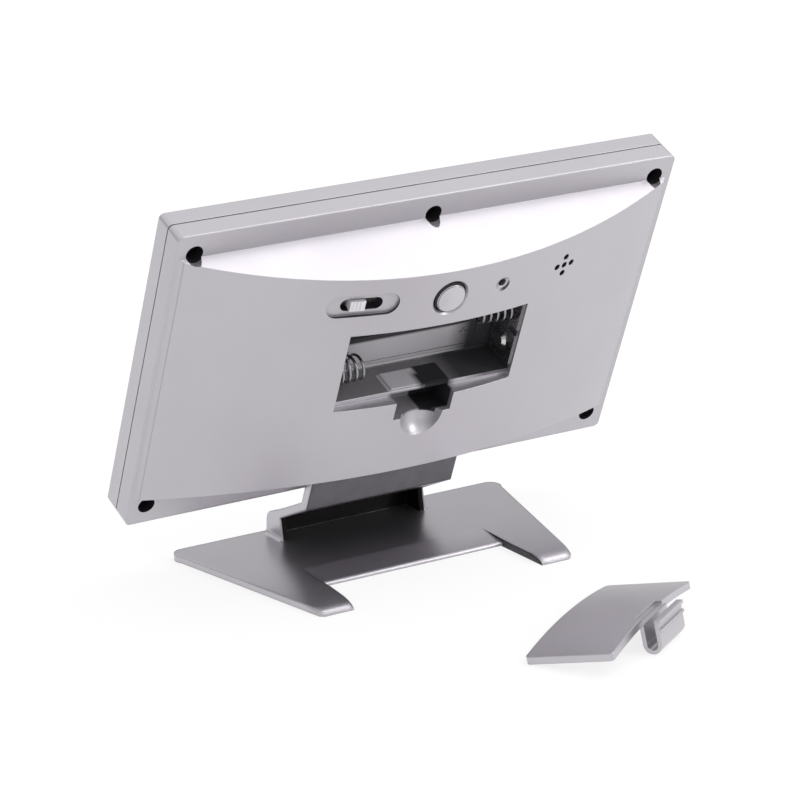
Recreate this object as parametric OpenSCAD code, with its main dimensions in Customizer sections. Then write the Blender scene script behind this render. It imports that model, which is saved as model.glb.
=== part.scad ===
// Digital alarm clock: a slim leaning case with a bulged back on a flat forked stand.
// The battery door lies loose on the table beside the clock, clip down.
//
// World frame: +Z up, origin on the table under the middle of the stand plate,
// display towards -Y, battery side towards +Y.
// Case frame: X across, Y out of the back (0 = flat rear strip), Z up the case.

/* [Case] */
// Width of the case
case_w = 140; // [120:1:170]
// Height of the case along its own slope
case_h = 86.6; // [75:0.1:105]
// Depth from the front face to the flat rear strip
case_d = 10; // [8:0.5:16]
// Depth of the front bezel, up to the seam
bezel_d = 4.9; // [3:0.1:7]
// Open line between bezel and rear cover
seam_gap = 0.4; // [0.2:0.1:0.8]
// Wall thickness of both shells
wall = 2; // [1.4:0.1:3]
// Corner radius of the case seen from the front
corner_r = 1.4; // [1:0.1:8]
// Angle that the case leans back
lean = 21.86; // [0:0.1:40]
// World Y of the case's lower rear edge
case_y = -9.92; // [-20:0.01:10]
// World Z of the case's lower rear edge
case_z = 18.54; // [10:0.01:30]

/* [Back bulge] */
// Height of the bulge above the rear strip, at the middle
bulge_rise = 14.4; // [8:0.1:20]
// Radius of the bulged rear face
bulge_r = 178; // [175:1:400]
// Lower edge of the bulge at the strip
bulge_low = 7.9; // [4:0.1:15]
// Distance from the bulge's upper edge to the top of the case
bulge_top_strip = 6.5; // [4:0.1:15]
// Slope of the upper and lower facets, measured from square to the strip
facet_angle = 21.5; // [5:0.5:40]
// Rounding of the bulge's side edges
bulge_side_r = 2.4; // [1:0.1:4]

/* [Front] */
// Sides of the clear window from the sides of the circuit board
lens_side = 2; // [1:0.5:16]
// Height of the clear window
lens_h = 54; // [40:1:62]
// Thickness of the clear window
lens_t = 1.2; // [0.8:0.1:2]
// Height of the window's centre up the case
lens_z = 51; // [40:0.5:60]
// Ledge that the window rests on
lens_ledge = 2.5; // [1:0.1:5]
// Width of each small key
key_w = 13; // [8:0.5:18]
// Height of each small key and of the long bar
key_h = 6.5; // [4:0.5:9]
// Space between the long bar and the inner keys
bar_gap = 5.5; // [3:0.5:12]
// Height of the key row's centre up the case
key_z = 13; // [9:0.5:16]
// Distance between the centres of neighbouring small keys
key_pitch = 17.5; // [15.5:0.5:20]
// Centres of the outer keys from the sides of the circuit board
key_side = 9.5; // [6:0.5:16]
// Clearance round each key
key_gap = 0.25; // [0.15:0.05:0.5]
// Rim of each key behind the bezel
key_rim = 1; // [0.6:0.1:1.5]
// Width of each key switch on the board
switch_w = 5.2; // [4:0.1:7]
// Travel of each key
key_travel = 0.5; // [0.3:0.1:0.8]

/* [Display] */
// Sides of the display glass from the sides of the circuit board
glass_side = 7; // [5:0.5:20]
// Height of the display glass
glass_h = 46; // [30:1:50]
// Thickness of one sheet of display glass
glass_t = 1.1; // [0.5:0.1:1.5]
// Contact ledge of the front glass below the rear glass
glass_lip = 2.5; // [1.5:0.1:4]
// Ends of the rubber contact strips from the side and the middle of the glass
strip_edge = 2; // [1:0.5:10]

/* [Circuit board] */
// Width of the circuit board
board_w = 122; // [100:1:126]
// Height of the circuit board
board_h = 68; // [50:1:72]
// Thickness of the circuit board
board_t = 1.4; // [0.8:0.1:1.6]
// Distance from the rear strip plane to the board's rear face, towards the front
board_back = 2.3; // [2.1:0.1:3]
// Board screw holes from the board's sides
board_hole_side = 1.8; // [1.5:0.1:6]
// Upper board screw holes from the board's upper edge
board_hole_top = 3; // [2:0.5:12]
// Lower board screw holes from the board's lower edge
board_hole_low = 14.5; // [2:0.5:20]
// Diameter of each capacitor
capacitor_d = 5; // [4:0.5:6.3]
// Distance between the capacitors
capacitor_pitch = 8; // [6.5:0.5:12]
// Inner capacitor from the side of the circuit board
capacitor_side = 23; // [16:0.5:30]
// Capacitors from the lower edge of the circuit board
capacitor_low = 19.5; // [6:0.5:22]
// Chip cover from the side of the circuit board
chip_side = 23; // [10:0.5:30]
// Chip cover from the lower edge of the circuit board
chip_low = 19.5; // [6:0.5:22]
// Crystal can from the side of the circuit board
crystal_side = 15; // [8:0.5:16]
// Crystal can from the lower edge of the circuit board
crystal_low = 13.5; // [6:0.5:16]
// Clearance of the board round the screw posts
board_gap = 0.5; // [0.2:0.1:1]

/* [Battery compartment] */
// Width of the door opening
door_hole_w = 50.6; // [40:0.1:60]
// Lower edge of the door opening up the case
door_hole_low = 35.4; // [30:0.1:45]
// Upper edge of the door opening up the case
door_hole_top = 58.4; // [50:0.1:65]
// Inside length of the compartment
bay_w = 51.4; // [45:0.1:62]
// Lower wall of the compartment up the case
bay_low = 36.9; // [33:0.1:45]
// Upper wall of the compartment up the case
bay_top = 58.8; // [52:0.1:66]
// Floor of the compartment above the strip plane
bay_floor = 0.8; // [0.5:0.1:5]
// Thickness of the compartment's walls
bay_wall = 1.4; // [1:0.1:2]
// Height up the case of the lower cell's axis
cell_low_z = 42.7; // [40:0.05:48]
// Height up the case of the upper cell's axis
cell_top_z = 53.25; // [50:0.05:58]
// Height of the cells' axes above the strip plane
cell_y = 6.15; // [5:0.05:10]

/* [Latch] */
// Width of the latch notch below the opening
notch_w = 16.4; // [10:0.2:22]
// Lower edge of the latch notch up the case
notch_low = 30.3; // [27:0.1:34]
// Clearance under the clip's bend in its room
latch_gap = 0.37; // [0.2:0.01:1]
// Radius of the ball that shapes the finger scoop
scoop_ball_r = 7; // [5:0.1:9]
// Height of the scoop ball's centre above the rear face
scoop_ball_out = 3.4; // [2:0.1:5]

/* [Rear controls] */
// Height of the row of rear controls up the case
row_z = 66.9; // [64:0.1:70]
// Slide switch pocket, centre from the middle
slide_x = 23.8; // [18:0.1:30]
// Length of the slide switch pocket
slide_pocket_l = 19; // [14:0.5:24]
// Height of the slide switch pocket
slide_pocket_h = 6.2; // [5:0.1:8]
// Depth of the slide switch pocket
slide_pocket_d = 0.9; // [0.8:0.1:1.6]
// Length of the slot in the pocket
slide_slot_l = 11; // [8:0.2:13]
// Height of the slot in the pocket
slide_slot_h = 3.4; // [2.6:0.1:4]
// Travel of the slide knob
slide_travel = 2.5; // [1.5:0.1:4]
// Height of the light button up the case
button_z = 66.3; // [64:0.1:70]
// Diameter of the dish round the light button
button_dish_d = 10; // [8:0.1:13]
// Depth of the dish round the light button
button_dish_depth = 0.7; // [0.3:0.1:1.5]
// Diameter of the hole for the light button
button_hole_d = 8.8; // [6:0.1:10]
// Diameter of the light button
button_d = 8.3; // [6:0.1:10]
// Diameter of the light button's face
button_face_d = 7.4; // [5:0.1:9]
// Height of the light button's rim above the rear face
button_proud = 0.4; // [0:0.1:1.5]
// Travel of the light button
button_travel = 0.6; // [0.3:0.1:1]
// Reset hole, centre from the middle
reset_x = -15.3; // [-20:0.1:-11]
// Diameter of the reset dimple
reset_dish_d = 4.4; // [3:0.1:6]
// Diameter of the reset hole
reset_hole_d = 2; // [1.5:0.1:2.5]
// Travel of the reset pin
reset_travel = 0.4; // [0.2:0.1:0.8]
// Sounder holes, centre from the middle
sounder_x = -34.7; // [-45:0.1:-30]
// Distance between neighbouring sounder holes
sounder_pitch = 2.4; // [2:0.1:3.5]
// Diameter of each sounder hole
sounder_hole_d = 1.7; // [1:0.1:2]
// Diameter of each lead
lead_d = 0.9; // [0.6:0.1:1.2]
// Diameter of the sounder disc
sounder_disc_d = 14; // [12:0.5:20]

/* [Case screws] */
// Screw centres from the sides of the case
screw_side = 5; // [4.5:0.1:9]
// Screw centres from the top and bottom of the case
screw_edge = 5.4; // [4.5:0.1:8]
// Diameter of the deep hole over each screw head
screw_well_d = 4.4; // [4:0.1:6]
// Wall round each screw well
well_wall = 1.35; // [1:0.05:2]
// Diameter of the screw's head
screw_head_d = 3.8; // [3:0.1:5]
// Diameter of the screw's shank
screw_d = 2; // [1.6:0.1:2.6]

/* [Stand] */
// Thickness of the stand plate
plate_t = 1.8; // [1.4:0.1:3]
// Half width of the plate at its front edge
plate_front_half = 48.7; // [40:0.1:60]
// Half width of the plate at the tips of its legs
plate_rear_half = 36.8; // [30:0.1:50]
// World Y of the plate's front edge
plate_front_y = -27.5; // [-35:0.1:-20]
// World Y of the legs' tips
plate_tip_y = 27.5; // [20:0.1:35]
// World Y of the edge between the legs
fork_y = 10.4; // [5:0.1:15]
// Half width between the legs at the fork
fork_half = 26.4; // [22:0.1:30]
// Half width between the legs at their tips
fork_tip_half = 27.6; // [22:0.1:30]
// World Y where the plate starts to thin towards the fork
ramp_y = 1; // [-5:0.1:6]
// Thickness of the plate at the fork
fork_t = 0.9; // [0.6:0.1:1.8]
// Length of the rounded tip of each leg
nose_l = 6.5; // [1:0.1:8]
// Height of the blunt end of each leg
nose_low = 0.15; // [0.1:0.05:0.5]
// Radius of the rounded edge at the fork
fork_round = 0.7; // [0.2:0.1:0.8]
// Radius of the fillets beside the neck
neck_fillet = 1.2; // [0.5:0.1:3]
// Half width of the neck and of the tongue
neck_half = 21.4; // [16:0.1:26]
// Wall thickness of the neck
neck_wall = 1.7; // [1.2:0.1:3]
// Thickness of the sloping part of the neck
riser_t = 2.3; // [1.6:0.1:3]
// Front face of the tongue above the strip plane
tongue_y = 2.9; // [2:0.1:5]
// Thickness of the tongue
tongue_t = 2.7; // [2:0.1:4]
// Lower end of the tongue, below the case
tongue_low = -2.53; // [-5:0.01:0]
// Upper end of the tongue, up the case
tongue_top = 20; // [14:0.1:24]
// Clearance round the tongue in its socket
tongue_gap = 0.12; // [0.05:0.01:0.3]

/* [Battery door] */
// Thickness of the door
door_t = 1.8; // [1.2:0.1:2.4]
// Radius of the door's corners
door_corner_r = 1; // [0.2:0.1:2]
// Clearance of the door in its opening, each side
door_gap = 0.3; // [0.15:0.05:0.6]
// World X of the door's nearest top corner
door_x = 11.18; // [0:0.01:40]
// World Y of the door's nearest top corner
door_y = 77.6; // [50:0.01:120]
// Turn of the lying door about the vertical
door_yaw = 32.72; // [0:0.01:90]
// Tilt of the lying door, clip side up
door_roll = 12.4; // [0:0.01:30]
// Width of the door's spring clip
clip_w = 14.8; // [10:0.1:18]
// Thickness of the spring clip
clip_t = 1; // [0.7:0.1:1.4]
// Underside of the clip's bend above the strip plane
clip_low_y = 5.77; // [5.5:0.01:8]
// Centre of each door tab from the middle
tab_x = 16; // [10:0.5:22]
// Width of each door tab
tab_w = 4; // [2:0.5:6]
// Reach of each door tab under the rim
tab_reach = 1.2; // [0.6:0.1:1.3]

/* [Cell contacts] */
// Thickness of the flat contacts
contact_t = 0.4; // [0.2:0.05:0.5]
// Half height of each contact plate
contact_half = 4.4; // [3:0.1:4.8]
// Rear edge of the contact plates above the strip plane
contact_top_y = 11; // [9:0.1:11.8]
// Diameter of the raised spot of a contact at its foot
spot_d = 4.4; // [3:0.1:6]
// Diameter of the raised spot at its tip
spot_tip_d = 3; // [2:0.1:5]
// Height of the raised spot
spot_h = 0.9; // [0.4:0.1:1.2]
// Front edge of the bar that links the two contact plates
link_low_y = 4.5; // [3:0.1:6]
// Rear edge of the bar that links the two contact plates
link_top_y = 8; // [6.5:0.1:10]

/* [Cell springs] */
// Diameter of the spring wire
spring_wire = 0.7; // [0.4:0.05:0.8]
// Free length of a cell spring
spring_len = 10; // [8:0.1:14]
// Radius of the widest coil
spring_r0 = 3.4; // [3:0.1:4.5]
// Radius of the narrowest coil
spring_r1 = 3; // [1.5:0.1:4]
// Number of coils
spring_turns = 4.25; // [3:0.25:7]

/* [Hidden] */
$fn = 48;
eps = 0.01;
big_fn = 240;
m_facet = tan(facet_angle);
bulge_top = case_h - bulge_top_strip;
cover_d = case_d - bezel_d;
board_rear_y = -board_back;
board_front_y = board_rear_y - board_t;
board_z = 40.5;
glass_front_y = -case_d + wall + 0.2;
glass_w = board_w - 2 * glass_side;
lens_w = board_w - 2 * lens_side;
strip_half = glass_w / 4 - strip_edge;
key_outer_x = board_w / 2 - key_side;
key_inner_x = key_outer_x - key_pitch;
bar_w = 2 * key_inner_x - key_w - 2 * bar_gap;
bezel_back_y = -cover_d - seam_gap;
socket_top = tongue_top + 1;
slide_z = row_z + 0.5;
slot_dx = 0.2;
slot_dz = 0;
knob_top = -0.1;
knob_rest_dx = slide_travel / 2;
door_l = door_hole_w - 2 * door_gap;
door_low = door_hole_low + door_gap;
door_top = door_hole_top - door_gap;
clip_outer_z = notch_low + 0.9;
latch_floor_y = clip_low_y - latch_gap;
latch_low = notch_low - 0.9;
pad_y = 4.4;
door_lift = -0.04;
door_seat_y = 10.9;
screw_x = case_w / 2 - screw_side;
screw_sites = [[-screw_x, screw_edge], [screw_x, screw_edge],
               [-screw_x, case_h - screw_edge], [0, case_h - screw_edge],
               [screw_x, case_h - screw_edge]];
board_hole_x = board_w / 2 - board_hole_side;
board_low = board_z - board_h / 2;
board_high = board_z + board_h / 2;
board_sites = [for (x = [-board_hole_x, board_hole_x],
                    z = [board_low + board_hole_low, board_high - board_hole_top]) [x, z]];

case_c = [186, 184, 190];
shade_c = [128, 126, 132];
key_c = [205, 204, 209];

// ---- shared helpers ----

function rgb(c) = c / 255;

// Rear face of the bulge above the strip plane, for an X across the case.
function bulge_y(x, r = bulge_r, rise = bulge_rise) = rise - r + sqrt(r * r - x * x);

// Turn of the rear face at an X across the case.
function bulge_turn(x) = asin(x / bulge_r);

// Places children from the case frame into the world.
module in_case()
    translate([0, case_y, case_z]) rotate([-lean, 0, 0]) children();

// Stands children on the bulged rear face: local +Y points out of it.
module on_back(x, z)
    translate([x, bulge_y(x), z]) rotate([0, 0, -bulge_turn(x)]) children();

// A cylinder along +Y.
module rod(d, y0, y1)
    translate([0, y0, 0]) rotate([-90, 0, 0]) cylinder(d = d, h = y1 - y0);

// A cone along +Y.
module taper(d0, d1, y0, y1)
    translate([0, y0, 0]) rotate([-90, 0, 0]) cylinder(d1 = d0, d2 = d1, h = y1 - y0);

// A box given by its least and greatest corners.
module block(a, b)
    translate(a) cube(b - a);

// A rectangle with round corners in XZ, pushed along +Y.
module round_block(w, z0, z1, r, y0, y1) {
    h = z1 - z0;
    translate([0, y1, z0 + h / 2]) rotate([90, 0, 0]) linear_extrude(y1 - y0) {
        square([w - 2 * r, h], center = true);
        square([w, h - 2 * r], center = true);
        for (sx = [-1, 1], sz = [-1, 1])
            translate([sx * (w / 2 - r), sz * (h / 2 - r)]) circle(r);
    }
}

// A bar with round ends in XZ, pushed along +Y.
module slot_block(l, h, y0, y1)
    translate([0, y1, 0]) rotate([90, 0, 0]) linear_extrude(y1 - y0) {
        square([l - h, h], center = true);
        for (s = [-1, 1]) translate([s * (l - h) / 2, 0]) circle(d = h);
    }

// ---- rear cover ----

// Plan outline of the bulge, or of the hollow inside it.
module bulge_plan(shrink) {
    half = case_w / 2 - shrink;
    r = bulge_side_r;
    y_edge = bulge_y(half, bulge_r - shrink, bulge_rise - shrink);
    difference() {
        intersection() {
            translate([0, bulge_rise - bulge_r]) circle(bulge_r - shrink, $fn = big_fn);
            translate([-half, -1 - shrink]) square([2 * half, bulge_rise + 2]);
        }
        for (s = [-1, 1]) scale([s, 1])
            polygon([[half, y_edge - r * 0.85], [half - r * 0.12, y_edge - r * 0.44],
                     [half - r * 0.42, y_edge - r * 0.06], [half - r * 0.9, y_edge + r * 0.245],
                     [half - r * 0.9, y_edge + 3], [half + 1, y_edge + 3],
                     [half + 1, y_edge - r * 0.85]]);
    }
}

// Side outline that cuts the upper and lower facets.
module facet_side(shrink) {
    lift = shrink / cos(facet_angle);
    polygon([[-3, bulge_low + lift - 3 * m_facet], [20, bulge_low + lift + 20 * m_facet],
             [20, bulge_top - lift - 20 * m_facet], [-3, bulge_top - lift + 3 * m_facet]]);
}

module bulge(shrink)
    intersection() {
        linear_extrude(case_h) bulge_plan(shrink);
        translate([-case_w, 0, 0]) rotate([90, 0, 90]) linear_extrude(2 * case_w)
            facet_side(shrink);
    }

module cover_outside() {
    round_block(case_w, 0, case_h, corner_r, -cover_d, 0);
    bulge(0);
}

module cover_hollow() {
    block([-case_w / 2 + wall, -cover_d - 1, wall],
          [case_w / 2 - wall, -wall, case_h - wall]);
    bulge(wall);
}

// Walls, wells, sockets and pads inside the cover, trimmed by its outside.
module cover_inner_works() {
    // battery compartment
    block([-bay_w / 2 - bay_wall, bay_floor - bay_wall, bay_low - bay_wall],
          [bay_w / 2 + bay_wall, 20, bay_top + bay_wall]);
    // ledge round the door opening
    block([-door_hole_w / 2 - 1, door_seat_y - 1.3, door_hole_low - 1],
          [door_hole_w / 2 + 1, 20, door_hole_top + 1]);
    // latch housing and the pad over it
    block([-notch_w / 2 - bay_wall, latch_floor_y - bay_wall, latch_low - bay_wall],
          [notch_w / 2 + bay_wall, 20, bay_low]);
    block([-notch_w / 2, pad_y, bay_low - 1], [notch_w / 2, 10.6, bay_low + 0.4]);
    // backing of the finger scoop
    translate([0, bulge_rise + scoop_ball_out, notch_low]) sphere(scoop_ball_r + 1.3);
    // socket for the stand's tongue
    block([-neck_half - 2, tongue_y - 1.9, bulge_low - 1],
          [neck_half + 2, tongue_y + tongue_t + 2, socket_top + 1.5]);
    // screw wells
    for (p = screw_sites) translate([p[0], 0, p[1]]) rod(screw_well_d + 2 * well_wall, -cover_d - 0.3, 6);
    // pad behind the slide switch pocket
    on_back(slide_x, slide_z)
        block([-slide_pocket_l / 2 - 1.5, -3.2, -4.2], [slide_pocket_l / 2 + 1.5, -1, 4.2]);
    // guide of the light button
    translate([0, 0, button_z]) rod(button_hole_d + 2.4, 8.5, 20);
    // guide of the reset pin
    translate([reset_x, 0, row_z + 0.2]) rod(reset_hole_d + 2.4, 2.2, 20);
    // ring round the sounder disc
    on_back(sounder_x, row_z + 0.3) rod(sounder_disc_d + 2.6, -4.2, -1);
}

module cover_cuts() {
    // compartment and its mouth
    difference() {
        block([-bay_w / 2, bay_floor, bay_low], [bay_w / 2, 12.15, bay_top]);
        block([-notch_w / 2, pad_y, bay_low - 1], [notch_w / 2, 10.6, bay_low + 0.4]);
    }
    block([-door_hole_w / 2, door_seat_y, door_hole_low], [door_hole_w / 2, 20, door_hole_top]);
    for (s = [-1, 1])
        block([s * tab_x - tab_w / 2 - door_gap, door_seat_y, door_hole_top - 1],
              [s * tab_x + tab_w / 2 + door_gap, 12.15, door_hole_top + tab_reach + door_gap]);
    // slots for the contacts' tails
    for (z = [cell_low_z, cell_top_z])
        block([bay_w / 2 - 0.7, -2, z - 2], [bay_w / 2, 5, z + 2]);
    // latch notch and the room under it
    block([-notch_w / 2, latch_floor_y, notch_low], [notch_w / 2, 20, bay_low - 1]);
    block([-notch_w / 2, latch_floor_y, latch_low], [notch_w / 2, 12.1, notch_low + 1]);
    // finger scoop
    translate([0, bulge_rise + scoop_ball_out, notch_low]) sphere(scoop_ball_r);
    // socket
    block([-neck_half - tongue_gap, tongue_y - tongue_gap, 0],
          [neck_half + tongue_gap, tongue_y + tongue_t + tongue_gap, socket_top]);
    // screw wells
    for (p = screw_sites) translate([p[0], 0, p[1]]) {
        rod(screw_well_d, -4.1, 20);
        rod(screw_d + 0.3, -10, 0);
    }
    // slide switch pocket and slot
    on_back(slide_x, slide_z) {
        slot_block(slide_pocket_l, slide_pocket_h, -slide_pocket_d, 6);
        translate([slot_dx, 0, slot_dz]) slot_block(slide_slot_l, slide_slot_h, -6, 2);
    }
    // light button
    translate([0, 0, button_z]) {
        taper(button_hole_d, button_dish_d + 0.2, bulge_rise - button_dish_depth,
              bulge_rise + 0.1);
        rod(button_hole_d, 0, 20);
    }
    // reset hole
    translate([reset_x, bulge_y(reset_x), row_z + 0.2]) {
        taper(reset_hole_d, reset_dish_d + 0.6, -0.7, 0.28);
        rod(reset_hole_d, -20, 5);
    }
    // sounder holes and the seat of the disc
    on_back(sounder_x, row_z + 0.3) {
        for (p = [[0, 0], [1, 0], [-1, 0], [0, 1], [0, -1]] * sounder_pitch)
            translate([p[0], 0, p[1]]) rod(sounder_hole_d, -6, 4);
        rod(sounder_disc_d + 0.2, -6, -2);
    }
}

module rear_cover() in_case() color(rgb(case_c))
    difference() {
        union() {
            difference() {
                cover_outside();
                cover_hollow();
            }
            intersection() {
                cover_outside();
                cover_inner_works();
            }
        }
        cover_cuts();
    }

// ---- front bezel ----

module key_row(grow, y0, y1) {
    for (x = [-key_outer_x, -key_inner_x, key_inner_x, key_outer_x])
        translate([x, 0, key_z]) slot_block(key_w + 2 * grow, key_h + 2 * grow, y0, y1);
    translate([0, 0, key_z]) slot_block(bar_w + 2 * grow, key_h + 2 * grow, y0, y1);
}

module front_bezel() in_case() color(rgb(case_c))
    difference() {
        union() {
            difference() {
                round_block(case_w, 0, case_h, corner_r, -case_d, bezel_back_y);
                block([-case_w / 2 + wall, -case_d + wall, wall],
                      [case_w / 2 - wall, 0, case_h - wall]);
            }
            // lip behind the seam
            difference() {
                round_block(case_w - 1.2, 0.6, case_h - 0.6, corner_r - 0.6, -case_d + 1, -cover_d);
                block([-case_w / 2 + wall, -case_d, wall],
                      [case_w / 2 - wall, 1, case_h - wall]);
            }
            for (p = screw_sites) translate([p[0], 0, p[1]])
                rod(5.2, -case_d + 1, -cover_d - 0.5);
            for (p = board_sites) translate([p[0], 0, p[1]])
                rod(4.6, -case_d + 1, board_front_y);
        }
        // window and its ledge
        round_block(lens_w, lens_z - lens_h / 2, lens_z + lens_h / 2, 2, -case_d - 1,
                    -case_d + lens_t + 0.05);
        block([-lens_w / 2 + lens_ledge, -case_d - 1, lens_z - lens_h / 2 + lens_ledge],
              [lens_w / 2 - lens_ledge, -case_d + wall + 1, lens_z + lens_h / 2 - lens_ledge]);
        key_row(key_gap, -case_d - 1, -case_d + wall + 1);
        for (p = screw_sites) translate([p[0], 0, p[1]]) rod(screw_d, -case_d + 1.2, 0);
        for (p = board_sites) translate([p[0], 0, p[1]]) rod(1.6, -case_d + wall, 0);
    }

module display_lens() in_case() color([0.75, 0.8, 0.82])
    round_block(lens_w - 0.2, lens_z - lens_h / 2 + 0.1, lens_z + lens_h / 2 - 0.1, 1.9,
                -case_d + 0.02, -case_d + lens_t);

// ---- display ----

module lcd_front_glass() in_case() color([0.62, 0.68, 0.62])
    block([-glass_w / 2, glass_front_y, lens_z - glass_h / 2],
          [glass_w / 2, glass_front_y + glass_t, lens_z + glass_h / 2]);

module lcd_rear_glass() in_case() color([0.58, 0.64, 0.58])
    block([-glass_w / 2, glass_front_y + glass_t, lens_z - glass_h / 2 + glass_lip],
          [glass_w / 2, glass_front_y + 2 * glass_t, lens_z + glass_h / 2]);

module lcd_reflector() in_case() color([0.8, 0.81, 0.79])
    block([-glass_w / 2 + 1, glass_front_y + 2 * glass_t, lens_z - glass_h / 2 + glass_lip + 1],
          [glass_w / 2 - 1, glass_front_y + 2 * glass_t + 0.4, lens_z + glass_h / 2 - 1]);

// Frame that holds the display against the board.
module lcd_frame() in_case() color([0.9, 0.9, 0.88])
    difference() {
        block([-glass_w / 2 - 1.6, glass_front_y, lens_z - glass_h / 2 - 1.6],
              [glass_w / 2 + 1.6, board_front_y, lens_z + glass_h / 2 + 1.6]);
        block([-glass_w / 2 - 0.1, -20, lens_z - glass_h / 2 - 0.1],
              [glass_w / 2 + 0.1, 0, lens_z + glass_h / 2 + 0.1]);
    }

module zebra_strips() in_case() color([0.75, 0.3, 0.5])
    for (s = [-1, 1])
        block([s * glass_w / 4 - strip_half, glass_front_y + glass_t, lens_z - glass_h / 2 + 0.3],
              [s * glass_w / 4 + strip_half, board_front_y, lens_z - glass_h / 2 + glass_lip - 0.4]);

// ---- circuit board ----

module circuit_board() in_case() color([0.12, 0.38, 0.2])
    difference() {
        block([-board_w / 2, board_front_y, board_low], [board_w / 2, board_rear_y, board_high]);
        for (p = board_sites) translate([p[0], 0, p[1]]) rod(2, -8, 0);
        // room for the screw posts
        for (p = screw_sites) translate([p[0], 0, p[1]])
            rod(screw_well_d + 2 * (well_wall + board_gap), -8, 0);
    }

module board_screws() in_case() color([0.7, 0.7, 0.68])
    for (p = board_sites) translate([p[0], 0, p[1]]) {
        rod(1.6, -7.6, board_rear_y + 0.2);
        rod(3.2, board_rear_y, board_rear_y + 1.1);
    }

module chip_blob() in_case() color([0.08, 0.08, 0.08])
    translate([chip_side - board_w / 2, board_rear_y - 3.2, board_low + chip_low]) intersection() {
        sphere(r = 5.4);
        block([-6, 3.2, -6], [6, 6, 6]);
    }

module crystal_can() in_case() color([0.78, 0.78, 0.76])
    translate([crystal_side - board_w / 2, board_rear_y + 1.1, board_low + crystal_low]) {
        cylinder(d = 2.1, h = 6);
        block([-0.7, -1.1, -1.2], [-0.3, 0, 0.5]);
        block([0.3, -1.1, -1.2], [0.7, 0, 0.5]);
    }

module capacitors() in_case() color([0.2, 0.22, 0.3])
    for (x = [0, capacitor_pitch])
        translate([board_w / 2 - capacitor_side + x, 0, board_low + capacitor_low])
            rod(capacitor_d, board_rear_y, board_rear_y + 3.6);

// ---- keys and switches ----

module key_switches() in_case() color([0.16, 0.16, 0.18])
    for (x = [-key_outer_x, -key_inner_x, 0, key_inner_x, key_outer_x])
        translate([x, 0, key_z]) difference() {
            block([-switch_w / 2, board_front_y - 1.8, -switch_w / 2],
                  [switch_w / 2, board_front_y, switch_w / 2]);
            rod(2.2, board_front_y - 3, board_front_y - 0.6);
        }

// A key: face, rim behind the bezel, and the plunger of its switch.
module key(x, w, proud) in_case() color(rgb(key_c)) translate([x, 0, key_z]) {
    slot_block(w, key_h, -case_d - proud, -case_d + wall + 0.4);
    block([-w / 2 - key_rim, -case_d + wall + 0.2, -key_h / 2 - key_rim],
          [w / 2 + key_rim, -case_d + wall + 0.9, key_h / 2 + key_rim]);
    rod(1.9, -case_d + wall + 0.5, board_front_y - 1.25);
}

module mode_key() key(-key_outer_x, key_w, 0.5);
module set_key() key(-key_inner_x, key_w, 0.5);
module up_key() key(key_inner_x, key_w, 0.5);
module down_key() key(key_outer_x, key_w, 0.5);
module snooze_bar() key(0, bar_w, 0.5);

// Round cap, stem and switch plunger, pressed towards the front.
module light_button() in_case() color(rgb(key_c)) translate([0, 0, button_z]) {
    rotate([-90, 0, 0]) rotate_extrude($fn = 64) polygon([
        [0, 9], [button_d / 2, 9], [button_d / 2, bulge_rise - button_dish_depth],
        [button_face_d / 2 + 0.15, bulge_rise + button_proud - 0.3],
        for (a = [0 : 15 : 45])
            [button_face_d / 2 - 0.35 + 0.35 * cos(a),
             bulge_rise + button_proud - 0.2 + 0.28 * sin(a)],
        for (k = [3 : -1 : 0]) let (r = (button_face_d / 2 - 0.4) * k / 4)
            [r, bulge_rise + button_proud + 0.25 - r * r / 40]]);
    rod(button_hole_d + 1.6, 7.2, 8.2);
    rod(button_d, 8, 10);
    rod(3, board_rear_y + 2.7, 8);
}

module light_switch() in_case() color([0.16, 0.16, 0.18]) translate([0, 0, button_z])
    difference() {
        block([-3, board_rear_y, -3], [3, board_rear_y + 3.6, 3]);
        rod(3.2, board_rear_y + 1.6, 10);
    }

module reset_pin() in_case() color([0.2, 0.2, 0.22]) translate([reset_x, 0, row_z + 0.2]) {
    rod(1.8, board_rear_y + 1.9, 8);
    rod(3.4, 1.2, 1.9);
}

module reset_switch() in_case() color([0.16, 0.16, 0.18])
    translate([reset_x, 0, row_z + 0.2]) difference() {
        block([-2.4, board_rear_y, -2.4], [2.4, board_rear_y + 2.3, 2.4]);
        rod(2, board_rear_y + 1.2, 10);
    }

module slide_switch() in_case() on_back(slide_x, slide_z)
    translate([slot_dx, 0, slot_dz]) color([0.72, 0.72, 0.7]) difference() {
        union() {
            block([-6.3, -7.2, -2.8], [6.3, -3.25, 2.8]);
            for (x = [-3, 0, 3]) translate([x, 0, 0]) block([-0.4, -9, -0.25], [0.4, -7, 0.25]);
        }
        block([-4, -5.4, -1.2], [4, 0, 1.2]);
    }

module slide_knob() in_case() on_back(slide_x, slide_z)
    translate([slot_dx + knob_rest_dx, 0, slot_dz]) color(rgb([225, 224, 228])) {
        block([-1.95, -4.4, -1], [1.95, knob_top, 1]);
        block([-1.95, -2.9, -1.4], [1.95, knob_top, 1.4]);
    }

module slide_switch_leads() in_case() color([0.75, 0.15, 0.12])
    for (x = [-3, 0, 3] + slot_dx * [1, 1, 1]) let (t = bulge_turn(slide_x))
        translate([slide_x + x * cos(t) - 9 * sin(t), 0, slide_z + slot_dz])
            rod(lead_d, board_rear_y, bulge_y(slide_x) - 9 * cos(t) - x * sin(t) - 0.12);

module sounder_disc() in_case() on_back(sounder_x, row_z + 0.3) color([0.8, 0.66, 0.3]) {
    rod(sounder_disc_d, -2.5, -2.02);
    rod(sounder_disc_d - 5, -2.75, -2.4);
}

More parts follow.
